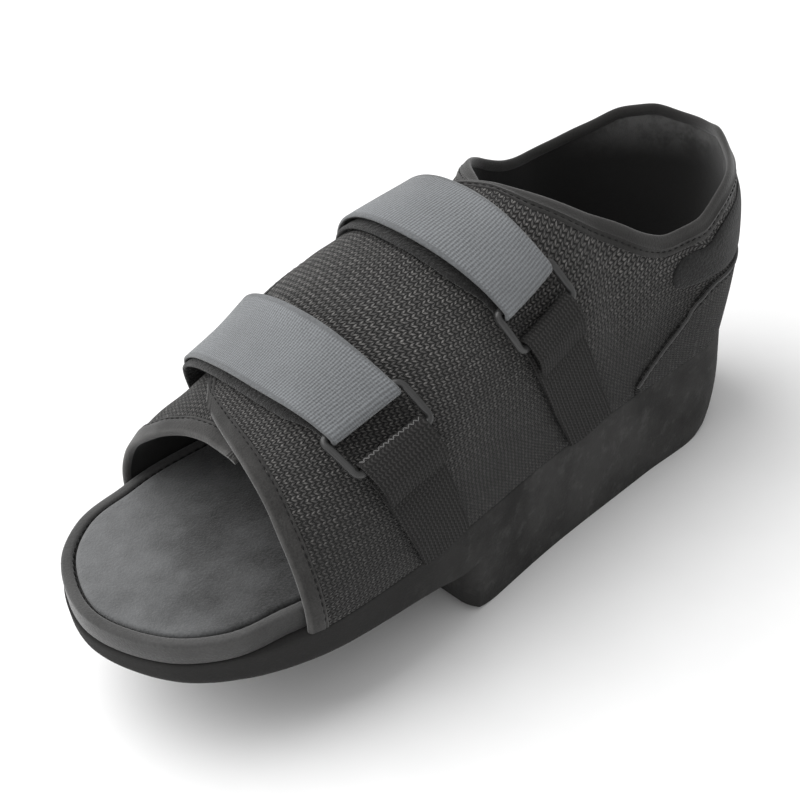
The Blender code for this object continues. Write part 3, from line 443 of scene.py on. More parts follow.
# %% The socket class
class Signal:
    """A shader value that works in Python expressions."""

    def __init__(self, tree, socket=None):
        self.tree = tree
        self.socket = socket

    def node(self, kind, settings=None, sockets=None, output=0):
        """Adds a node of any kind: its settings first, then the values or links of its sockets."""
        made = self.tree.nodes.new(kind)
        for key, value in (settings or {}).items():
            if key == "stops":
                ramp = made.color_ramp
                while len(ramp.elements) < len(value):
                    ramp.elements.new(0.5)
                for stop, (place, shade) in zip(ramp.elements, value):
                    stop.position = place
                    stop.color = (*shade, 1.0)
            else:
                setattr(made, key, value)
        for key, value in (sockets or {}).items():
            if isinstance(value, Signal):
                self.tree.links.new(value.socket, made.inputs[key])
            else:
                made.inputs[key].default_value = value
        return Signal(self.tree, made.outputs[output])

    def maths(self, operation, first, second=None, third=None):
        values = {i: v for i, v in enumerate((first, second, third)) if v is not None}
        return self.node("ShaderNodeMath", {"operation": operation}, values)

    def __add__(self, other):
        return self.maths("ADD", self, other)

    __radd__ = __add__

    def __sub__(self, other):
        return self.maths("SUBTRACT", self, other)

    def __rsub__(self, other):
        return self.maths("SUBTRACT", other, self)

    def __mul__(self, other):
        return self.maths("MULTIPLY", self, other)

    __rmul__ = __mul__

    def __truediv__(self, other):
        return self.maths("DIVIDE", self, other)

    def __rtruediv__(self, other):
        return self.maths("DIVIDE", other, self)

    def __pow__(self, other):
        return self.maths("POWER", self, other)

    def __abs__(self):
        return self.maths("ABSOLUTE", self)

    def cosine(self):
        return self.maths("COSINE", self)

    def fraction(self):
        return self.maths("FRACT", self)

    def step(self, low, high):
        """A smooth step of this value between two limits."""
        settings = {"interpolation_type": "SMOOTHSTEP"}
        return self.node("ShaderNodeMapRange", settings, {"Value": self, "From Min": low, "From Max": high})

    def mix(self, first, second):
        """A colour between two, by this value."""
        return self.node("ShaderNodeMix", {"data_type": "RGBA"}, {0: self, 6: first, 7: second}, 2)

    def noise(self, where, scale, detail=2.0, roughness=0.5):
        sockets = {"Vector": where, "Scale": scale, "Detail": detail, "Roughness": roughness}
        return self.node("ShaderNodeTexNoise", None, sockets)

    def bump(self, distance, strength=1.0):
        sockets = {"Height": self, "Distance": distance, "Strength": strength}
        return self.node("ShaderNodeBump", None, sockets)


def grey(value, warm=0.0):
    """A near-neutral colour. Plus warm leans to brown, and minus to blue."""
    return (value * (1 + warm), value, value * (1 - warm), 1.0)


def make_finish(name, paint):
    """A material whose shader sockets come from the dictionary that paint returns."""
    material = bpy.data.materials.new(name)
    material.use_nodes = True
    tree = material.node_tree
    shader = tree.nodes["Principled BSDF"]
    for key, value in paint(Signal(tree)).items():
        if isinstance(value, Signal):
            tree.links.new(value.socket, shader.inputs[key])
        else:
            shader.inputs[key].default_value = value
    print("finish", name, "has", len(tree.nodes), "nodes")
    return material


def place_on_cloth(start):
    """Where a point lies on the flat cloth, as a vector and as its two lengths in millimetres."""
    vector = start.node("ShaderNodeAttribute", {"attribute_name": "cloth"}, None, "Vector")
    apart = {"Vector": vector}
    x = start.node("ShaderNodeSeparateXYZ", None, apart, "X") * 1000.0
    y = start.node("ShaderNodeSeparateXYZ", None, apart, "Y") * 1000.0
    return vector, x, y


def place_in_space(start):
    return start.node("ShaderNodeTexCoord", None, None, "Object")


# %% [markdown]
# ## The knit of the upper
# The upper is a thick spacer knit. Its face shows rows about 2 mm apart, and in each row
# the yarn leans one way and then the other, like small arrows. An image could hold this, but a formula
# stays sharp at any distance: the row's fraction bends the loops into arrows, a cosine makes the
# yarns, and both drive the colour and the bump. A little noise keeps the rows from looking printed.

# %% Finish of the knit
ROW_PITCH, LOOP_PITCH = 2.0, 1.9
TWO_PI = 2 * math.pi


def knit_relief(start, x, y, vector, row_pitch, loop_pitch):
    """Height of the knit's face from 0, between yarns, to 1, on a yarn's crown."""
    wander = start.noise(vector, 60.0) - 0.5
    row = (y + wander * 1.6) / row_pitch
    bend = abs(row.fraction() - 0.5) * 2.0
    loop = (x + wander * 1.2) / loop_pitch + bend * 0.62
    yarn = (loop * TWO_PI).cosine() * 0.5 + 0.5
    between = 1.0 - bend.step(0.72, 1.0) * 0.95
    middle = 1.0 - (1.0 - bend).step(0.78, 1.0) * 0.70
    return (yarn**0.7) * between * middle


def paint_knit(dark, light, row_pitch=ROW_PITCH, loop_pitch=LOOP_PITCH, depth=0.00075):
    def paint(start):
        vector, x, y = place_on_cloth(start)
        relief = knit_relief(start, x, y, vector, row_pitch, loop_pitch)
        glint = start.noise(vector, 520.0, 3.0, 0.7).step(0.42, 0.68)
        cloudy = start.noise(vector, 22.0, 3.0).step(0.3, 0.7)
        height = start.node("ShaderNodeSeparateXYZ", None, {"Vector": place_in_space(start)}, "Z")
        # Painted light: the knit is lighter higher up the shoe, where the light from above falls, and darker low on
        # the sides.
        painted_knit_top_light = 0.55 + 0.75 * height.step(0.050, 0.105)
        # The colour follows the relief: a painted highlight on each yarn's crown and painted shade between the rows.
        lit = relief.step(0.15, 0.90) * (0.30 + 0.70 * glint) * (0.75 + 0.25 * cloudy) * painted_knit_top_light
        fuzz = start.noise(vector, 2600.0, 2.0, 0.7)
        return {
            "Base Color": lit.mix(grey(dark, 0.05), grey(light, 0.04)),
            "Roughness": 0.86 - 0.30 * lit,
            "Specular IOR Level": 0.35,
            "Sheen Weight": 0.08,
            "Sheen Roughness": 0.5,
            "Normal": (relief + fuzz * 0.12).bump(depth),
        }

    return paint


knit = make_finish("upper_knit", paint_knit(0.005, 0.150))
counter_knit = make_finish("counter_knit", paint_knit(0.006, 0.120, 1.35, 1.9, 0.0006))

# %% [markdown]
# ## Tape, lining, felt and thread
# The edges are bound with a smooth brushed tape, and the inside is a flat dark cloth, with painted light
# high inside the heel near the collar. None of them shows a clear weave at this distance. A soft mottle, a
# fine nap in the bump and a faint sheen tell a brushed cloth from plastic.

# %% Finishes of the plain cloths
def paint_nap(dark, light, grain, depth, sheen=0.25, warm=0.01, spread=30.0):
    def paint(start):
        where = place_in_space(start)
        cloudy = start.noise(where, spread, 4.0, 0.6).step(0.28, 0.72)
        nap = start.noise(where, grain, 3.0, 0.65)
        tone = cloudy * 0.6 + nap.step(0.3, 0.7) * 0.4
        return {
            "Base Color": tone.mix(grey(dark, warm), grey(light, warm)),
            "Roughness": 0.95 - 0.18 * tone,
            "Specular IOR Level": 0.25,
            "Sheen Weight": sheen,
            "Sheen Roughness": 0.45,
            "Normal": nap.bump(depth),
        }

    return paint


def paint_lining(start):
    """Near-black cloth, with painted light: a lighter patch high inside the heel, near the collar."""
    where = place_in_space(start)
    x = start.node("ShaderNodeSeparateXYZ", None, {"Vector": where}, "X")
    z = start.node("ShaderNodeSeparateXYZ", None, {"Vector": where}, "Z")
    # Painted light: lighter high inside the heel near the collar, where light reaches in; deeper inside stays
    # near-black.
    painted_light_patch = (1.0 - x.step(-0.080, -0.052)) * z.step(0.084, 0.108)
    cloudy = start.noise(where, 70.0, 4.0, 0.7).step(0.35, 0.65)
    nap = start.noise(where, 2200.0, 2.0)
    tone = painted_light_patch * (0.35 + 0.65 * cloudy)
    return {
        "Base Color": tone.mix(grey(0.010, 0.02), grey(0.125, 0.01)),
        "Roughness": 0.95 - 0.1 * tone,
        "Specular IOR Level": 0.2,
        "Sheen Weight": 0.1,
        "Normal": nap.bump(0.0002),
    }


def paint_tape(start):
    """Brushed tape, lighter along its fold and darker by the thread, and darker towards the top of the shoe."""
    vector, x, y = place_on_cloth(start)
    where = place_in_space(start)
    cloudy = start.noise(where, 45.0, 4.0, 0.6).step(0.3, 0.7)
    nap = start.noise(where, 1500.0, 3.0, 0.65)
    fold = (1.0 - y.step(0.7, 1.9)) * (0.6 + 0.4 * cloudy)
    height = start.node("ShaderNodeSeparateXYZ", None, {"Vector": where}, "Z")
    tone = (cloudy * 0.35 + nap.step(0.3, 0.7) * 0.20 + fold * 0.45) * (1.0 - 0.7 * height.step(0.075, 0.100))
    return {
        "Base Color": tone.mix(grey(0.014, 0.04), grey(0.070, 0.03)),
        "Roughness": 0.92 - 0.22 * tone,
        "Specular IOR Level": 0.3,
        "Sheen Weight": 0.30,
        "Sheen Roughness": 0.45,
        "Normal": nap.bump(0.00020),
    }


tape = make_finish("binding_tape", paint_tape)
lining = make_finish("lining_cloth", paint_lining)
felt = make_finish("heel_felt", paint_nap(0.008, 0.030, 900.0, 0.0006, 0.12))


def paint_suede(start):
    """Grey suede, mottled, with painted shade: darker towards the heel and the near side, lighter towards the toe."""
    where = place_in_space(start)
    x = start.node("ShaderNodeSeparateXYZ", None, {"Vector": where}, "X")
    y = start.node("ShaderNodeSeparateXYZ", None, {"Vector": where}, "Y")
    wander = start.noise(where, 18.0, 4.0, 0.65) - 0.5
    # Painted shade: the suede darkens towards the heel and the near side and stays light towards the toe.
    painted_suede_light = (x * 0.76 - y * 0.65 + wander * 0.11).step(0.089, 0.172)
    cloudy = start.noise(where, 42.0, 5.0, 0.65).step(0.3, 0.7)
    nap = start.noise(where, 1100.0, 3.0, 0.7)
    tone = painted_suede_light * 0.70 + cloudy * 0.20 + nap.step(0.35, 0.65) * 0.10
    return {
        "Base Color": tone.mix(grey(0.008, 0.03), grey(0.170, -0.02)),
        "Roughness": 0.97 - 0.12 * tone,
        "Specular IOR Level": 0.2,
        "Sheen Weight": 0.25,
        "Sheen Roughness": 0.5,
        "Normal": (nap + cloudy * 0.6).bump(0.0004),
    }


suede = make_finish("insole_suede", paint_suede)
rim_cloth = make_finish("footbed_rim", paint_nap(0.036, 0.066, 1400.0, 0.0002, 0.35))
dark_thread = make_finish("dark_thread", paint_nap(0.006, 0.014, 3000.0, 0.0001, 0.05))
tape_thread = make_finish("tape_thread", paint_nap(0.005, 0.012, 3000.0, 0.0001, 0.05))
pale_thread = make_finish("pale_thread", paint_nap(0.09, 0.22, 2400.0, 0.0001, 0.2))

# %% [markdown]
# ## Foam, straps, webbing and loops
# The sole is moulded foam: matt, almost black, with faint pores. The straps are a looped weave with
# fine ribs across them and a plain edge on each side. Their lower run is the fuzzy side, which
# is darker. The webbing that holds the loops is a dense knit, and the loops are satin plastic.

# %% Finishes of sole, straps, webbing and loops
RIB_PITCH, SELVEDGE = 0.95, 1.5


def paint_foam(start):
    where = place_in_space(start)
    cloudy = start.noise(where, 26.0, 5.0, 0.62).step(0.3, 0.7)
    pores = start.noise(where, 1300.0, 3.0, 0.6)
    scuff = start.noise(where, 160.0, 4.0, 0.7).step(0.5, 0.75)
    x = start.node("ShaderNodeSeparateXYZ", None, {"Vector": where}, "X")
    # Painted shade: the foam darkens from the front of the heel block towards the toe.
    tone = (cloudy * 0.6 + scuff * 0.4) * (1.0 - 0.85 * x.step(0.06, 0.13))
    return {
        "Base Color": tone.mix(grey(0.015, 0.025), grey(0.060, 0.02)),
        "Roughness": 0.76 + 0.16 * pores,
        "Specular IOR Level": 0.25,
        "Normal": (pores + scuff * 0.6).bump(0.00022),
    }


def paint_strap(dark, light):
    def paint(start):
        vector, x, y = place_on_cloth(start)
        edge = abs(x).step(STRAP_WIDTH * 500 - SELVEDGE - 0.25, STRAP_WIDTH * 500 - SELVEDGE + 0.1)
        wander = start.noise(vector, 90.0) - 0.5
        rib = ((y + wander * 0.35) / RIB_PITCH * TWO_PI).cosine() * 0.5 + 0.5
        warp = ((x + wander * 0.5) / 0.85 * TWO_PI).cosine() * 0.5 + 0.5
        loops = start.noise(vector, 1300.0, 4.0, 0.75).step(0.3, 0.7)
        relief = (rib * 0.55 + warp * 0.25) * (1.0 - edge * 0.8) + loops * 0.45
        cloudy = start.noise(vector, 40.0, 3.0).step(0.3, 0.7)
        height = start.node("ShaderNodeSeparateXYZ", None, {"Vector": place_in_space(start)}, "Z")
        # Painted light: the straps are lighter high on the instep, where the light from above falls, and darker low
        # towards the loops.
        painted_strap_top_light = 0.74 + 0.32 * height.step(0.060, 0.088)
        lit = (relief.step(0.05, 1.15) * 0.8 + cloudy * 0.2) * painted_strap_top_light
        return {
            "Base Color": lit.mix(grey(dark, -0.03), grey(light, -0.05)),
            "Roughness": 0.9 - 0.2 * lit,
            "Specular IOR Level": 0.3,
            "Sheen Weight": 0.3,
            "Sheen Roughness": 0.4,
            "Normal": relief.bump(0.00026),
        }

    return paint


def paint_webbing(start):
    vector, x, y = place_on_cloth(start)
    wander = start.noise(vector, 80.0) - 0.5
    row = (y + wander * 0.6) / 1.5
    bend = abs(row.fraction() - 0.5) * 2.0
    yarn = (((x + wander) / 1.45 + bend * 0.4) * TWO_PI).cosine() * 0.5 + 0.5
    relief = yarn * (1.0 - bend.step(0.7, 1.0) * 0.8)
    fuzz = start.noise(vector, 2200.0, 3.0, 0.7)
    return {
        "Base Color": (relief * 0.7 + fuzz * 0.3).mix(grey(0.006, 0.03), grey(0.038, 0.03)),
        "Roughness": 0.9 - 0.15 * relief,
        "Specular IOR Level": 0.3,
        "Normal": (relief + fuzz * 0.3).bump(0.0005),
    }


def paint_plastic(start):
    where = place_in_space(start)
    mould = start.noise(where, 220.0, 3.0)
    fine = start.noise(where, 1800.0, 2.0)
    return {
        "Base Color": mould.mix(grey(0.022, 0.01), grey(0.040, 0.0)),
        "Roughness": 0.24 + 0.16 * mould,
        "Specular IOR Level": 0.5,
        "Normal": (mould + fine * 0.3).bump(0.00008),
    }


foam = make_finish("sole_foam", paint_foam)
strap_cloth = make_finish("strap_loop", paint_strap(0.092, 0.215))
strap_fuzz = make_finish("strap_fuzz", paint_nap(0.008, 0.026, 900.0, 0.0011, 0.2))
webbing = make_finish("webbing", paint_webbing)
plastic = make_finish("ring_plastic", paint_plastic)

# %% [markdown]
# ## The sole
# On the real shoe one foam unit is a thick block under the heel and arch and a thin plate under the
# toes. It could be extruded from a side view, but then its sides would be flat. Here rings of the
# outline are stacked with their taper and rounded edges, and two cutters take away the space in
# front of the block. The bevel then rounds the cut edges as moulding does.

# %% Build the sole
SOLE_POINTS = 260


def heel_roll(along, height):
    drop = 1.0 - min(height / HEEL_ROLL_HEIGHT, 1.0)
    fade = np.maximum(0.0, 1.0 - along / HEEL_ROLL_ZONE)
    return HEEL_ROLL_REACH * (1.0 - math.sqrt(1.0 - drop * drop)) * fade * fade


def underside(along):
    share = np.clip((along - BLOCK_LENGTH) / (SHOE_LENGTH - BLOCK_LENGTH), 0.0, 1.0)
    return STEP_CLEARANCE + (TOE_CLEARANCE - STEP_CLEARANCE) * share


def toe_curl(along, height):
    drop = np.clip((underside(along) + TOE_EDGE_RADIUS - height) / TOE_EDGE_RADIUS, 0.0, 1.0)
    fade = smooth((along - BLOCK_LENGTH) / TOE_EDGE_FADE)
    return TOE_EDGE_RADIUS * (1.0 - np.sqrt(1.0 - drop * drop)) * fade


def loft(name, rings, finish):
    return skin(name, np.array(rings), [finish])


def arch_cutter():
    below, front = -CUT_MARGIN, SHOE_LENGTH + CUT_MARGIN
    profile = [(BLOCK_LENGTH - FRONT_ROLL_REACH, below), (BLOCK_LENGTH - FRONT_ROLL_REACH, 0.0)]
    for share in np.linspace(0.2, 1.0, 9):
        profile.append((BLOCK_LENGTH - FRONT_ROLL_REACH * (1.0 - share), FRONT_ROLL_HEIGHT * share * share))
    for turn in np.radians(np.linspace(0.0, 90.0, 9)):
        along = BLOCK_LENGTH + STEP_FILLET * (1.0 - math.cos(turn))
        profile.append((along, STEP_CLEARANCE - STEP_FILLET * (1.0 - math.sin(turn))))
    profile += [(front, float(underside(front))), (front, below)]
    rings = [[(x - ORIGIN_FROM_HEEL, y, z) for x, z in profile] for y in (-BALL_WIDTH * 0.7, BALL_WIDTH * 0.7)]
    return loft("arch_cutter", rings, foam)


def corner_cutter(side):
    half = float(half_width(BLOCK_LENGTH)) - SIDE_TAPER / 2
    centre = (BLOCK_LENGTH - BLOCK_CORNER_RADIUS, half - BLOCK_CORNER_RADIUS)
    plan = []
    for turn in np.radians(np.linspace(0.0, 90.0, 13)):
        plan.append((centre[0] + BLOCK_CORNER_RADIUS * math.cos(turn), centre[1] + BLOCK_CORNER_RADIUS * math.sin(turn)))
    plan += [(centre[0], half + CUT_MARGIN), (BLOCK_LENGTH + STEP_FILLET, half + CUT_MARGIN)]
    plan.append((BLOCK_LENGTH + STEP_FILLET, centre[1]))
    rings = [[(x - ORIGIN_FROM_HEEL, side * y, z) for x, y in plan] for z in (-CUT_MARGIN, STEP_CLEARANCE)]
    return loft("corner_cutter", rings, foam)


def bake_modifiers(piece):
    """Applies the modifiers of a piece without the operators that need a window."""
    graph = bpy.context.evaluated_depsgraph_get()
    mesh = bpy.data.meshes.new_from_object(piece.evaluated_get(graph))
    piece.modifiers.clear()
    piece.data = mesh
    return piece


def build_sole():
    heights = list(np.linspace(0.0, HEEL_ROLL_HEIGHT, 12)) + list(np.linspace(0.0225, 0.0385, 20))
    heights += [SOLE_HEIGHT - TOP_EDGE, SOLE_HEIGHT - TOP_EDGE * 0.3, SOLE_HEIGHT]
    rings = []
    for height in heights:
        taper = SIDE_TAPER * (1.0 - height / SOLE_HEIGHT)
        lip = {heights[-1]: TOP_EDGE, heights[-2]: TOP_EDGE * 0.3}.get(height, 0.0)
        ring = outline_ring(lambda along: taper + lip + toe_curl(along, height), SOLE_POINTS)
        rings.append([(x + heel_roll(x, height) - ORIGIN_FROM_HEEL, y, height) for x, y in ring])
    sole = loft("sole", rings, foam)
    cutters = [arch_cutter(), corner_cutter(1), corner_cutter(-1)]
    for cutter in cutters:
        cut = sole.modifiers.new("cut", "BOOLEAN")
        cut.operation, cut.solver, cut.object = "DIFFERENCE", "EXACT", cutter
    bake_modifiers(sole)
    for cutter in cutters:
        bpy.data.objects.remove(cutter, do_unlink=True)
    bevel = sole.modifiers.new("edge", "BEVEL")
    bevel.width, bevel.segments, bevel.angle_limit = 0.0007, 2, math.radians(40)
    bake_modifiers(sole)
    sole.data.shade_smooth()
    sole.data.set_sharp_from_angle(angle=math.radians(45))
    return dress(sole, "outsole")


sole = build_sole()

# %% [markdown]
# ## The footbed and its insole
# A board wrapped in tape stands on the sole, and a suede insole lies in its rim. A line of thread runs
# in the groove between them. The rim is lofted from a few insets of the sole's outline, because the
# same outline has to show as an even band all the way round the toe.

# %% Build the footbed, the insole and the thread in the groove
BED_POINTS, BED_EASE = 240, 0.022
FRONT_OPENING = max(row[1] for row in NEAR_FRONT + FAR_FRONT) * SHOE_LENGTH + 0.003


def footbed_inset(along):
    heel = HEEL_INSET * (1.0 - smooth(along / FAN_X))
    inside = WALL + BINDING_RAISE + 3 * GAP + heel
    out = smooth((along - FRONT_OPENING) / BED_EASE)
    return inside * (1.0 - out) + RIM_INSET * out


def bed_rings(steps):
    rings = []
    for inset, height in steps:
        ring = outline_ring(lambda along: footbed_inset(along) + inset, BED_POINTS)
        rings.append([(x - ORIGIN_FROM_HEEL, y, height) for x, y in ring])
    return np.array(rings)


def build_footbed():
    base, top = SOLE_HEIGHT + GAP, SOLE_HEIGHT + FOOTBED_HEIGHT
    steps = [(0.0003, base), (0.0, base + 0.0006), (-0.0001, (base + top) / 2), (0.0, top - RIM_ROUND)]
    for turn in np.radians(np.linspace(20, 90, 5)):
        steps.append((RIM_ROUND * (1 - math.cos(turn)), top - RIM_ROUND * (1 - math.sin(turn))))
    steps.append((RIM_WIDTH / 2, top + 0.0001))
    for turn in np.radians(np.linspace(90, 0, 5)):
        steps.append((RIM_WIDTH - RIM_ROUND * (1 - math.cos(turn)), top - RIM_ROUND * (1 - math.sin(turn))))
    steps.append((RIM_WIDTH, top - RIM_DEPTH))
    bed = dress(loft("footbed_board", bed_rings(steps), rim_cloth), "footbed")
    return bed


def build_insole():
    base = SOLE_HEIGHT + FOOTBED_HEIGHT - RIM_DEPTH + GAP
    edge = RIM_WIDTH + INSOLE_GROOVE
    steps = [(edge, base), (edge, base + INSOLE_THICKNESS * 0.5), (edge + 0.0003, base + INSOLE_THICKNESS * 0.78)]
    steps += [(edge + INSOLE_ROUND * 0.5, base + INSOLE_THICKNESS * 0.95), (edge + INSOLE_ROUND, base + INSOLE_THICKNESS)]
    piece = dress(loft("suede_insole", bed_rings(steps), suede), "insole")
    return piece


def groove_thread():
    height = SOLE_HEIGHT + FOOTBED_HEIGHT - 0.0011
    ring = bed_rings([(RIM_WIDTH + 0.0001, height)])[0]
    shown = ring[ring[:, 0] > FRONT_OPENING - ORIGIN_FROM_HEEL - 0.060]
    turn = np.argmax(np.linalg.norm(np.diff(shown, axis=0), axis=1))
    line = np.roll(shown, -(turn + 1), axis=0) if turn else shown
    ups = np.tile([0.0, 0.0, 1.0], (len(line), 1))
    return stitch_row("groove_thread", line, ups, 0.0031, 0.0022, 0.0009, dark_thread)


footbed = build_footbed()
insole = build_insole()
groove = groove_thread()

# %% [markdown]
# ## The upper's wall
# Two flaps of knit run from the toe opening round the heel. The wall is one closed sheet with a face
# and a lining, so that it looks right from the inside too. Its creases are listed as soft
# troughs and ridges, each a line on the flat cloth with a width and a depth. Pure noise would
# crumple the cloth evenly, which no worn or packed shoe does.

# %% Creases of the wall
CREASES = [
    # side, start (mm along, mm up), end, width in mm, depth in mm; a minus depth is a ridge
    (1, (72, 46), (104, 22), 7.0, 0.55),
    (1, (86, 58), (118, 40), 6.0, 0.45),
    (1, (60, 24), (92, 10), 8.0, 0.40),
    (1, (128, 66), (160, 58), 6.0, -0.40),
    (1, (150, 84), (186, 74), 7.0, 0.50),
    (1, (196, 60), (232, 34), 8.0, 0.45),
    (1, (34, 30), (52, 12), 6.0, 0.35),
    (-1, (74, 46), (108, 24), 7.0, 0.55),
    (-1, (150, 70), (190, 62), 8.0, 0.45),
    (-1, (100, 60), (128, 44), 6.0, -0.40),
]
RIPPLES = [(0.021, 0.013, 0.4), (0.047, -0.031, 1.7), (-0.018, 0.052, 2.9)]


def crease_depth(side, along, up):
    """How far the wall is pressed in, in metres, at places on the flat cloth in millimetres."""
    depth = np.zeros_like(along)
    for crease_side, start, end, width, deep in CREASES:
        start, end = np.array(start, float), np.array(end, float)
        run = end - start
        share = ((along - start[0]) * run[0] + (up - start[1]) * run[1]) / (run @ run)
        held = np.clip(share, 0.0, 1.0)
        miss = np.hypot(along - start[0] - held * run[0], up - start[1] - held * run[1])
        trough = deep * np.exp(-((miss / width) ** 2)) * (0.4 + 0.6 * np.sin(math.pi * held))
        depth += np.where(side == crease_side, trough, 0.0)
    for a, b, phase in RIPPLES:
        depth += 0.10 * np.sin(TWO_PI * (along * a + up * b) + phase)
    return depth * MM


print("deepest crease in mm:", max(row[4] for row in CREASES))

# %% Build the wall
WALL_COLUMNS, WALL_LEVELS, PINCH = 170, 56, 0.0005


def signed_stations(near_end, far_end, count):
    far = -far_end * (np.arange(count, 0, -1) / count) ** 1.15
    near = near_end * (np.arange(0, count + 1) / count) ** 1.15
    return np.concatenate([far, near])


def build_wall():
    tuck = 0.0018
    near_end, far_end = 1.0 - tuck / NEAR_LENGTH, 1.0 - tuck / FAR_LENGTH
    stations = signed_stations(near_end, far_end, WALL_COLUMNS)
    length, slant = wall_length(stations), edge_slant(stations)
    low, high = GAP / length, 1.0 - tuck * slant / length
    shares = np.linspace(0.0, 1.0, WALL_LEVELS)
    v = low[:, None] + (high - low)[:, None] * shares[None, :]
    side = np.where(stations >= 0, 1, -1)[:, None] * np.ones_like(v)
    along = np.abs(stations)[:, None] * np.where(side > 0, NEAR_LENGTH, FAR_LENGTH) / MM
    up = v * length[:, None] / MM
    calm = smooth((1.0 - v) * length[:, None] / 0.012) * smooth(up / 10.0)
    pressed = crease_depth(side, along, up) * calm
    below = (1.0 - v) * length[:, None]
    ahead = (1.0 - np.abs(stations))[:, None] * np.where(side > 0, NEAR_LENGTH, FAR_LENGTH)
    pinch = PINCH * np.maximum(smooth(1.0 - below / 0.005), smooth(1.0 - ahead / 0.005))
    outer = flap(stations[:, None], v, -pressed - pinch)
    inner = flap(stations[:, None], v, -WALL - pressed * 0.6 + pinch * 0.6)
    rings = np.concatenate([outer, inner[:, ::-1]], axis=1)
    flat = with_zero((along * side * MM, up * MM))
    flat = np.concatenate([flat, flat[:, ::-1]], axis=1)
    levels = WALL_LEVELS
    wall = skin("knit_wall", rings, [knit, lining], flat, pick=lambda i, j: 0 if j < levels - 1 else 1)
    dress(wall, "upper")
    return wall


wall = build_wall()

# %% [markdown]
# ## The bound edges
# A folded tape is sewn over every raw edge of the knit. A flat ribbon laid on the edge would miss the
# round fold, which is what catches the light along the collar. So the tape is a swept section: up
# the outside, round the fold and down the inside, with a shallow channel where the thread pulls
# it in.

# %% Section of the tape and the collar's binding
def tape_section(width, radius):
    """Places across the tape as (distance below the edge, height off the wall's face)."""
    sew = width - 0.0012
    outer = [(width, -0.0004), (width - 0.0001, BINDING_RAISE * 0.45), (width - 0.0005, BINDING_RAISE * 0.85)]
    outer += [(sew + 0.0003, BINDING_RAISE * 0.6), (sew, BINDING_RAISE * 0.35), (sew - 0.0003, BINDING_RAISE * 0.65)]
    outer += [(sew - 0.0007, BINDING_RAISE * 1.1), ((sew + radius) / 2, (BINDING_RAISE * 1.2 + radius - WALL / 2) / 2)]
    fold = []
    for turn in np.radians(np.linspace(90, -90, 15)):
        fold.append((radius * (1 - math.cos(turn)), -WALL / 2 + radius * math.sin(turn)))
    inner = [(radius + 0.0006, -WALL / 2 - radius), (radius + 0.0011, -WALL + 0.0006)]
    return np.array(outer + fold + inner)


def pucker(along):
    """The tape swells a little between stitches and is never quite even."""
    return 0.00008 * np.sin(TWO_PI * along / 0.0136) + 0.00010 * np.sin(TWO_PI * along / 0.031 + 1.0)


COLLAR_TAPE = 0.0042


def build_collar_tape():
    stations = signed_stations(1.0, 1.0, 260)
    length, slant = wall_length(stations), edge_slant(stations)
    section = tape_section(COLLAR_TAPE, 0.0013)
    below = section[None, :, 0] * slant[:, None]
    v = 1.0 - below / length[:, None]
    side = np.where(stations >= 0, 1.0, -1.0)
    along = np.abs(stations) * np.where(side > 0, NEAR_LENGTH, FAR_LENGTH)
    face = section[None, :, 1] + np.where(section[None, :, 1] > 0, pucker(along)[:, None], 0.0)
    rings = flap(stations[:, None], v, face)
    flat = with_zero(((side * along)[:, None], section[None, :, 0]))
    piece = dress(skin("collar_tape", rings, [tape], flat), "collar_binding")
    for name, sign in (("near", 1.0), ("far", -1.0)):
        stations = sign * np.linspace(0.02, 0.985, 400)
        length, slant = wall_length(stations), edge_slant(stations)
        v = 1.0 - (COLLAR_TAPE - 0.0012) * slant / length
        line = flap(stations, v, BINDING_RAISE * 0.5)
        ups = unit(flap(stations, v, 0.002) - flap(stations, v, 0.0))
        stitch_row("collar_thread_" + name, line, ups, 0.0027, 0.0018, 0.00055, tape_thread)
    return piece


collar = build_collar_tape()

# %% The bindings of the two front edges
def build_front_tape(sign, name, node):
    section = tape_section(FRONT_BINDING, 0.0015)
    whole = NEAR_LENGTH if sign > 0 else FAR_LENGTH
    rows = np.linspace(0.0, 1.0, 150)
    u = np.ones_like(rows) * sign
    length = wall_length(u[:1])[0]
    v = GAP / length + (1.0 - 0.0012 / length - GAP / length) * rows
    stations = sign * (1.0 - section[None, :, 0] / whole)
    along = rows * length
    face = section[None, :, 1] + np.where(section[None, :, 1] > 0, pucker(along)[:, None], 0.0)
    rings = flap(stations, v[:, None], face)
    flat = with_zero((along[:, None], section[None, :, 0]))
    piece = dress(skin("front_tape_" + name, rings, [tape], flat), node)
    place = sign * (1.0 - (FRONT_BINDING - 0.0012) / whole)
    v = v[3:-6]
    line = flap(place, v, BINDING_RAISE * 0.5)
    ups = unit(flap(place, v, 0.002) - flap(place, v, 0.0))
    stitch_row("front_thread_" + name, line, ups, 0.0027, 0.0018, 0.00055, tape_thread)
    return piece


near_tape = build_front_tape(1.0, "near", "front_binding_near")
far_tape = build_front_tape(-1.0, "far", "front_binding_far")

# %% [markdown]
# ## The heel's panels
# A stiffener is sewn under a cover at the back of the heel, with a felt pad over it. Both are thin
# panels with a rounded, stitched edge. They follow the same wall, so they are drawn between two
# edges on it, and their thickness falls away at the rim as pressed cloth does.

# %% Build the counter and the pad
def rolled_edge(name, points, radius, finish):
    """A thin cord of piping along a line of points."""
    run = lengths_along(points)
    places = np.linspace(0.0, run[-1], max(12, int(run[-1] / 0.0012)))
    centre = np.column_stack([np.interp(places, run, points[:, i]) for i in range(3)])
    ahead = unit(np.gradient(centre, axis=0))
    out = unit(np.cross(ahead, [0.0, 0.0, 1.0]))
    up = np.cross(out, ahead)
    turns = TWO_PI * np.arange(10) / 10
    rings = out[:, None] * np.cos(turns)[None, :, None] + up[:, None] * np.sin(turns)[None, :, None]
    return dress(skin(name, centre[:, None] + rings * radius, [finish]))


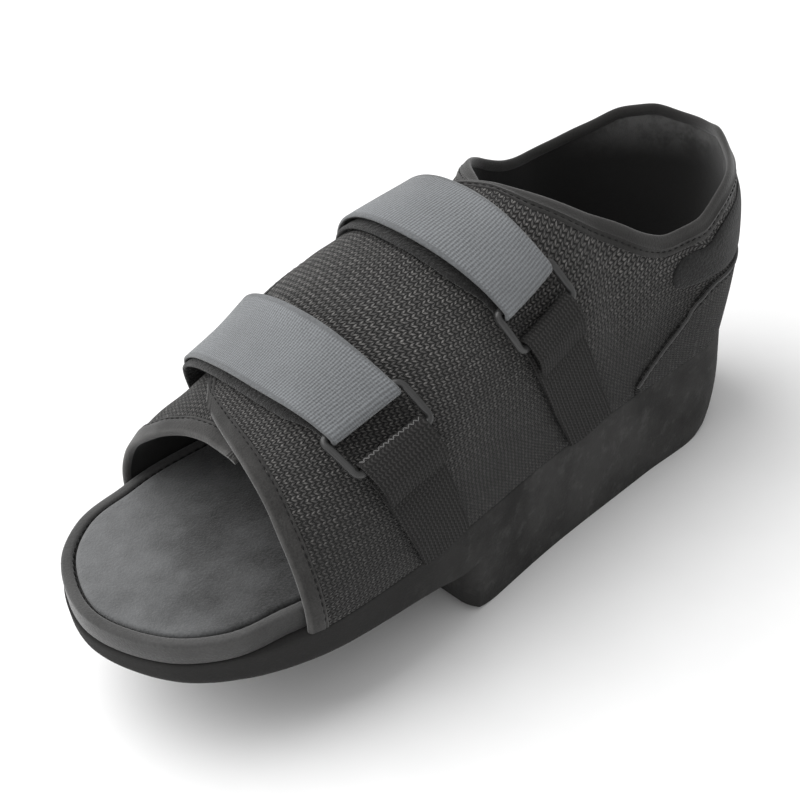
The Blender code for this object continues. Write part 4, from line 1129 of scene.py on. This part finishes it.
def share_at_height(stations, up):
    """How far up the wall, as its share, each station reaches a height over the sole."""
    shares = np.linspace(0.0, 1.0, 60)
    heights = flap(stations[:, None], shares[None, :], 0.0)[..., 2] - SOLE_HEIGHT
    return np.array([np.interp(u, h, shares) for u, h in zip(up, heights)])


def station_along(stations):
    whole = np.where(stations >= 0, NEAR_END, FAR_END)
    return along_of(np.abs(stations) * whole)


def panel(name, node, end_along, low_of, high_of, thickness, finish, soft, round_end=0.007, columns=90, levels=26):
    ends = [float(path_of(end_along)) / whole for whole in (NEAR_END, FAR_END)]
    stations = signed_stations(ends[0], ends[1], columns)
    length = wall_length(stations)
    low, high = low_of(stations, length), high_of(stations, length)
    side = np.where(stations >= 0, 1.0, -1.0)
    whole = np.where(stations >= 0, NEAR_LENGTH, FAR_LENGTH)
    along = np.abs(stations) * whole
    ends_near = np.where(side > 0, ends[0] * NEAR_LENGTH, ends[1] * FAR_LENGTH)
    close = np.clip(1.0 - (ends_near - along) / round_end, 0.0, 1.0)
    drawn = (1.0 - np.sqrt(1.0 - close**2)) * 0.5 * (high - low) * (0.0 if node == "heel_counter" else 1.0)
    low, high = low + drawn, high - drawn
    shares = np.linspace(0.0, 1.0, levels)
    v = low[:, None] + (high - low)[:, None] * shares[None, :]
    tall = (high - low) * length
    rim = np.minimum.reduce([shares[None, :] * tall[:, None], (1 - shares)[None, :] * tall[:, None],
                             (ends_near - along)[:, None] * np.ones_like(v)])
    face = GAP + thickness * (0.15 + 0.85 * np.sqrt(1.0 - (1.0 - np.clip(rim / soft, 0.0, 1.0)) ** 2))
    outer = flap(stations[:, None], v, face)
    inner = flap(stations[:, None], v, GAP * 0.3)
    rings = np.concatenate([outer, inner[:, ::-1]], axis=1)
    flat = with_zero(((side * along)[:, None], v * length[:, None]))
    piece = skin(name, rings, [finish], np.concatenate([flat, flat[:, ::-1]], axis=1))
    dress(piece, node)
    if node == "heel_counter":
        for label, shown in (("near", stations > 0.004), ("far", stations < -0.004)):
            edge = high[shown] - 0.0006 / length[shown]
            line = flap(stations[shown], edge, GAP + thickness * 0.9)
            rolled_edge("counter_piping_" + label, line, 0.00055, rim_cloth)
            inside = high[shown] - 0.0026 / length[shown]
            line = flap(stations[shown], inside, GAP + thickness)
            ups = unit(flap(stations[shown], inside, 0.002) - flap(stations[shown], inside, 0.0))
            stitch_row("counter_thread_" + label, line, ups, 0.0030, 0.0020, 0.0004, dark_thread)
    return piece


def at_height(table):
    def share(stations, length):
        up = read_table(table, station_along(stations) / SHOE_LENGTH) * INSTEP_HEIGHT
        return share_at_height(stations, up)

    return share


counter = panel("counter_cover", "heel_counter", COUNTER_TOP[-1][0] * SHOE_LENGTH,
                lambda stations, length: 4 * GAP / length, at_height(COUNTER_TOP), COUNTER_THICKNESS,
                counter_knit, 0.0014)
pad = panel("felt_pad", "heel_pad", PAD_BOTTOM[-1][0] * SHOE_LENGTH, at_height(PAD_BOTTOM),
            lambda stations, length: 1.0 - (COLLAR_BINDING + 4 * GAP) * edge_slant(stations) / length,
            PAD_THICKNESS, felt, 0.0040)

# %% [markdown]
# ## The straps
# Each strap is sewn down at the far side, crosses the instep, goes round the bar of its loop and
# comes back over itself, where hook and loop hold it. It is drawn flat on a chart, as distance
# across and distance round, and the chart is wrapped over the last. A curve with a bevel would twist
# on the way down, and the chart keeps the strap flat against the shoe.

# %% The chart that a strap is drawn on
class Chart:
    """Wraps a flat drawing over the shoe along a strap's slanted line."""

    def __init__(self, ridge, rake):
        self.ridge = ridge * SHOE_LENGTH
        self.rake = rake
        angles = np.radians(np.linspace(1.0, 179.0, 360))
        top = last(path_of(self.ridge), math.pi / 2, 1.0)[2]
        level = last(path_of(self.ridge), angles, 1.0)[:, 2]
        points = last(path_of(self.ridge - rake * (top - level)), angles, 1.0)
        lengths = lengths_along(points)
        self.angles = angles
        self.girths = float(np.interp(math.pi / 2, angles, lengths)) - lengths
        self.alongs = points[:, 0] + ORIGIN_FROM_HEEL

    def girth(self, angle):
        return float(np.interp(angle, self.angles, self.girths))

    def angle(self, girth):
        return np.interp(-np.asarray(girth), -self.girths, self.angles)

    def along(self, girth):
        return np.interp(-np.asarray(girth), -self.girths, self.alongs)

    def lift(self, girth):
        return lap_lift(path_of(self.along(girth)), self.angle(girth), 1.0)

    def seat(self, girth):
        """Height of what the strap lies on."""
        down = smooth((np.degrees(self.angle(girth)) - LAP_STEP_ANGLE) / LAP_STEP_REACH)
        return (self.lift(girth) + BINDING_RAISE) * (1.0 - down) + 2.1 * GAP

    def point(self, across, girth, height):
        reach = 0.002
        girth = np.asarray(girth, float)
        slope = (self.along(girth - reach) - self.along(girth + reach)) / (2 * reach)
        size = np.hypot(1.0, slope)
        along = self.along(girth) + across / size
        angle = self.angle(girth + across * slope / size)
        return off_last(path_of(along), angle, np.ones_like(along), height)


CHARTS = {name: Chart(*row[:2]) for name, row in BANDS.items()}
print("half girths in mm:", {name: round(chart.girth(math.radians(1.4)) / MM) for name, chart in CHARTS.items()})

# %% A ribbon with rounded edges
ACROSS = np.array([-1.0, -0.99, -0.965, -0.93, -0.89, -0.8, -0.6, -0.35, 0.0, 0.35, 0.6, 0.8, 0.89, 0.93, 0.965, 0.99, 1.0])
SWELL = np.array([0.25, 0.62, 0.9, 1.0, 0.92, 1.0, 1.0, 1.0, 1.0, 1.0, 1.0, 1.0, 0.92, 1.0, 0.9, 0.62, 0.25])


def ribbon(name, chart, path, halves, thickness, finishes, pick=None, shift=None):
    """A strip along a path of (girth, height) points. Its section is thin at both edges."""
    path, halves = np.array(path), np.array(halves)
    ahead = unit(np.gradient(path, axis=0))
    aside = np.column_stack([-ahead[:, 1], ahead[:, 0]]) * thickness / 2
    shift = np.zeros(len(path)) if shift is None else np.array(shift)
    rings = []
    for sign, order in ((1.0, slice(None)), (-1.0, slice(None, None, -1))):
        across = halves[:, None] * ACROSS[None, order] + shift[:, None]
        swell = SWELL[None, order] * sign
        girth = path[:, :1] + aside[:, :1] * swell
        height = path[:, 1:] + aside[:, 1:] * swell
        rings.append(chart.point(across, girth, height))
    run = lengths_along(path)
    flat = [with_zero((halves[:, None] * ACROSS[None, order], run[:, None])) for order in (slice(None), slice(None, None, -1))]
    return skin(name, np.concatenate(rings, axis=1), finishes, np.concatenate(flat, axis=1), pick=pick)


print("points in a ribbon's section:", 2 * len(ACROSS))

# %% Build the two straps
LOWER_SHIFT = 0.0022


def bar_height(chart, girth):
    return float(chart.seat(girth)) + STRAP_THICKNESS + GAP + RING_WIRE / 2


def strap_half(girth, bar):
    near = smooth(1.0 - np.abs(girth - bar) / STRAP_NARROWING)
    return (STRAP_WIDTH - (STRAP_WIDTH - STRAP_NECK) * near) / 2


def build_strap(name):
    chart = CHARTS[name]
    bar = chart.girth(math.radians(BANDS[name][2]))
    end = chart.girth(math.radians(BANDS[name][3]))
    high = bar_height(chart, bar)
    fold = RING_WIRE / 2 + GAP + STRAP_THICKNESS / 2
    low_run = np.linspace(chart.girth(math.radians(178.6)), bar - 0.004, 90)
    path = [(girth, float(chart.seat(girth)) + STRAP_THICKNESS / 2) for girth in low_run]
    halves = [float(strap_half(girth, bar)) for girth in low_run]
    shift = [LOWER_SHIFT * float(smooth((bar - 0.004 - girth) / 0.012)) for girth in low_run]
    for turn in np.radians(np.linspace(0.0, 180.0, 17)):
        path.append((bar + fold * math.sin(turn), high - fold * math.cos(turn)))
        halves.append(STRAP_NECK / 2)
        shift.append(0.0)
    first_upper = len(path) - 9
    lowest, highest = GAP, RING_WIRE + 2 * GAP
    for share in np.concatenate([np.linspace(0.05, 0.9, 90), np.linspace(0.91, 1.0, 24)]):
        girth = bar + (end - bar) * share
        lift = lowest + (highest - lowest) * (1.0 - float(smooth(share * 1.15)))
        lift += 0.00015 * math.sin(share * 19.0) * math.sin(math.pi * share)
        path.append((girth, float(chart.seat(girth)) + 1.5 * STRAP_THICKNESS + lift))
        left = max(girth - end, 0.0)
        cut = 0.0
        if left < STRAP_END_RADIUS:
            cut = STRAP_END_RADIUS - math.sqrt(STRAP_END_RADIUS**2 - (STRAP_END_RADIUS - left) ** 2)
        halves.append(float(strap_half(girth, bar)) - cut * 0.9)
        shift.append(0.0)
    count = len(ACROSS)

    def pick(row, place):
        return 0 if row >= first_upper and place >= count - 1 else 1

    piece = ribbon("strap_band_" + name, chart, path, halves, STRAP_THICKNESS, [strap_cloth, strap_fuzz], pick, shift)
    dress(piece, "strap_" + name)
    return piece


straps = [build_strap(name) for name in BANDS]

# %% [markdown]
# ## The loops and their webbing
# A rectangular loop of round wire joins each strap to a short length of webbing. The webbing is sewn
# into the edge of the sole, goes round the loop's lower bar and is stitched back to itself. The
# front one shows its pale zigzag at the fold. The loop is a swept circle, because a bevelled curve
# would pinch at its tight corners.

# %% Build the webbing and the loops
def build_anchor(name):
    chart = CHARTS[name]
    bar = chart.girth(math.radians(BANDS[name][2])) + RING_DEPTH - RING_WIRE
    high = bar_height(chart, bar)
    fold = RING_WIRE / 2 + GAP + ANCHOR_THICKNESS / 2
    path = []
    for girth in np.linspace(chart.girth(math.radians(1.4)), bar + 0.004, 60):
        near_bar = float(smooth(1.0 - (girth - bar - 0.004) / 0.010))
        flat = GAP + BINDING_RAISE + float(chart.lift(girth))
        path.append((girth, (flat + ANCHOR_THICKNESS / 2) * (1 - near_bar) + (high - fold) * near_bar))
    for turn in np.radians(np.linspace(0.0, 180.0, 17)):
        path.append((bar - fold * math.sin(turn), high - fold * math.cos(turn)))
    for share in np.linspace(0.3, 1.0, 16):
        girth = bar + ANCHOR_TAIL * share
        low = GAP + BINDING_RAISE + float(chart.lift(girth)) + 1.5 * ANCHOR_THICKNESS + GAP
        near_bar = float(smooth(1.0 - (girth - bar - 0.004) / 0.010))
        path.append((girth, max(low, (low + 0.0004) * (1 - near_bar) + (high + fold) * near_bar)))
    foot = path[0][0]
    shares = [float(smooth((foot - girth) / (foot - bar))) for girth, _ in path]
    halves = [(ANCHOR_FOOT + (ANCHOR_WIDTH - ANCHOR_FOOT) * share) / 2 for share in shares]
    piece = ribbon("anchor_web_" + name, chart, path, halves, ANCHOR_THICKNESS, [webbing])
    dress(piece, "anchor_" + name)
    across = np.linspace(-0.46, 0.46, 60) * ANCHOR_WIDTH
    turn = math.radians(128.0)
    reach = fold + ANCHOR_THICKNESS / 2
    girth, height = bar - reach * math.sin(turn), high - reach * math.cos(turn)
    line = chart.point(across, np.full(60, girth), np.full(60, height))
    ups = unit(chart.point(across, np.full(60, girth - 0.001), np.full(60, height + 0.0012)) - line)
    if name == "front":
        stitch_row("fold_thread_front", line, ups, 0.00095, 0.0018, 0.00045, pale_thread, 0.95)
    tail = bar + ANCHOR_TAIL - 0.0022
    level = np.full(60, path[-1][1] + ANCHOR_THICKNESS * 0.52)
    line = chart.point(across, np.full(60, tail), level)
    ups = unit(chart.point(across, np.full(60, tail), level + 0.001) - line)
    stitch_row("tail_thread_" + name, line, ups, 0.0028, 0.0020, 0.0005, dark_thread)
    return piece


def build_loop(name):
    chart = CHARTS[name]
    top = chart.girth(math.radians(BANDS[name][2]))
    half_long = STRAP_NECK / 2 + GAP + RING_WIRE / 2
    half_deep = (RING_DEPTH - RING_WIRE) / 2
    middle = top + half_deep
    flat = []
    for sx, sy, start in ((1, 1, 0), (-1, 1, 90), (-1, -1, 180), (1, -1, 270)):
        for turn in np.radians(np.linspace(start, start + 90, 9)):
            flat.append((sx * (half_long - RING_CORNER) + RING_CORNER * math.cos(turn),
                         sy * (half_deep - RING_CORNER) + RING_CORNER * math.sin(turn)))
    dense = []
    for a, b in zip(flat, flat[1:] + flat[:1]):
        pieces = max(1, round(math.dist(a, b) / 0.0012))
        dense += [(a[0] + (b[0] - a[0]) * k / pieces, a[1] + (b[1] - a[1]) * k / pieces) for k in range(pieces)]
    dense = np.array(dense)
    ends = [bar_height(chart, middle - half_deep), bar_height(chart, middle + half_deep)]
    share = np.clip((dense[:, 1] + half_deep) / (2 * half_deep), 0.0, 1.0)
    height = ends[0] + (ends[1] - ends[0]) * share
    centre = chart.point(dense[:, 0], middle + dense[:, 1], height)
    above = chart.point(dense[:, 0], middle + dense[:, 1], height + 0.001)
    ahead = unit(np.roll(centre, -1, axis=0) - np.roll(centre, 1, axis=0))
    out = unit(np.cross(above - centre, ahead))
    up = unit(np.cross(ahead, out))
    turns = TWO_PI * np.arange(16) / 16
    rings = centre[:, None] + (out[:, None] * np.cos(turns)[None, :, None] + up[:, None] * np.sin(turns)[None, :, None]) * RING_WIRE / 2
    return dress(skin("loop_" + name, rings, [plastic], wrap_rows=True), "ring_" + name)


anchors = [build_anchor(name) for name in BANDS]
loops = [build_loop(name) for name in BANDS]

# %% [markdown]
# ## Floor, light and camera
# The photograph is a plain studio shot on white: soft light from the upper left, no hard shadow. A
# pale floor, a white surround and two large area lights give the same modelling. The camera stands
# where the photograph was taken, which was found by matching the outline of the shoe.

# %% Studio
def build_floor():
    mesh = bpy.data.meshes.new("floor")
    size = 6.0
    mesh.from_pydata([(-size, -size, 0), (size, -size, 0), (size, size, 0), (-size, size, 0)], [], [(0, 1, 2, 3)])

    def paint(start):
        grain = start.noise(place_in_space(start), 40.0)
        return {"Base Color": grain.mix(grey(0.86), grey(0.90)), "Roughness": 0.9, "Specular IOR Level": 0.1}

    mesh.materials.append(make_finish("floor_paper", paint))
    floor = bpy.data.objects.new("floor", mesh)
    bpy.context.collection.objects.link(floor)
    floor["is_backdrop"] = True
    return floor


def area_light(name, place, aim, size, power):
    data = bpy.data.lights.new(name, "AREA")
    data.shape, data.size, data.energy = "DISK", size, power
    lamp = bpy.data.objects.new(name, data)
    lamp.location = place
    lamp.rotation_euler = (Vector(aim) - Vector(place)).to_track_quat("-Z", "Y").to_euler()
    bpy.context.collection.objects.link(lamp)
    return lamp


floor = build_floor()
area_light("key", (0.62, -0.76, 1.46), (0.02, 0.0, 0.06), 2.6, 43.0)
area_light("fill", (0.9, 1.2, 0.9), (0.02, 0.0, 0.06), 1.4, 1.5)
world = bpy.data.worlds.new("studio")
world.use_nodes = True
world.node_tree.nodes["Background"].inputs["Color"].default_value = (1.0, 1.0, 1.0, 1.0)
world.node_tree.nodes["Background"].inputs["Strength"].default_value = 0.66
bpy.context.scene.world = world
bpy.context.scene.view_settings.view_transform = "Standard"

# %% Camera
RIGHT, UP, BACK = (-0.7561, 0.6456, -0.1072), (-0.4395, -0.3795, 0.8140), (0.4849, 0.6626, 0.5707)
CAMERA_PLACE = (0.3543, 0.3981, 0.4020)
camera_data = bpy.data.cameras.new("camera")
camera_data.lens, camera_data.sensor_width = 78.98, 36.0
camera_data.clip_start = 0.01
camera = bpy.data.objects.new("camera", camera_data)
turn = Matrix((RIGHT, UP, BACK)).transposed().to_4x4()
turn.translation = Vector(CAMERA_PLACE)
camera.matrix_world = turn
bpy.context.collection.objects.link(camera)
bpy.context.scene.camera = camera
print("camera is", round(Vector(CAMERA_PLACE).length, 3), "m from the origin")

# %% Compare the boxes and finish
shown_box = [list(corner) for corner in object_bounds()]
grown = [round((abs(a - b)) / MM, 1) for low, high in zip(cad_box, shown_box) for a, b in zip(low, high)]
print("the dressed shoe differs from the solids by, in mm:", grown)
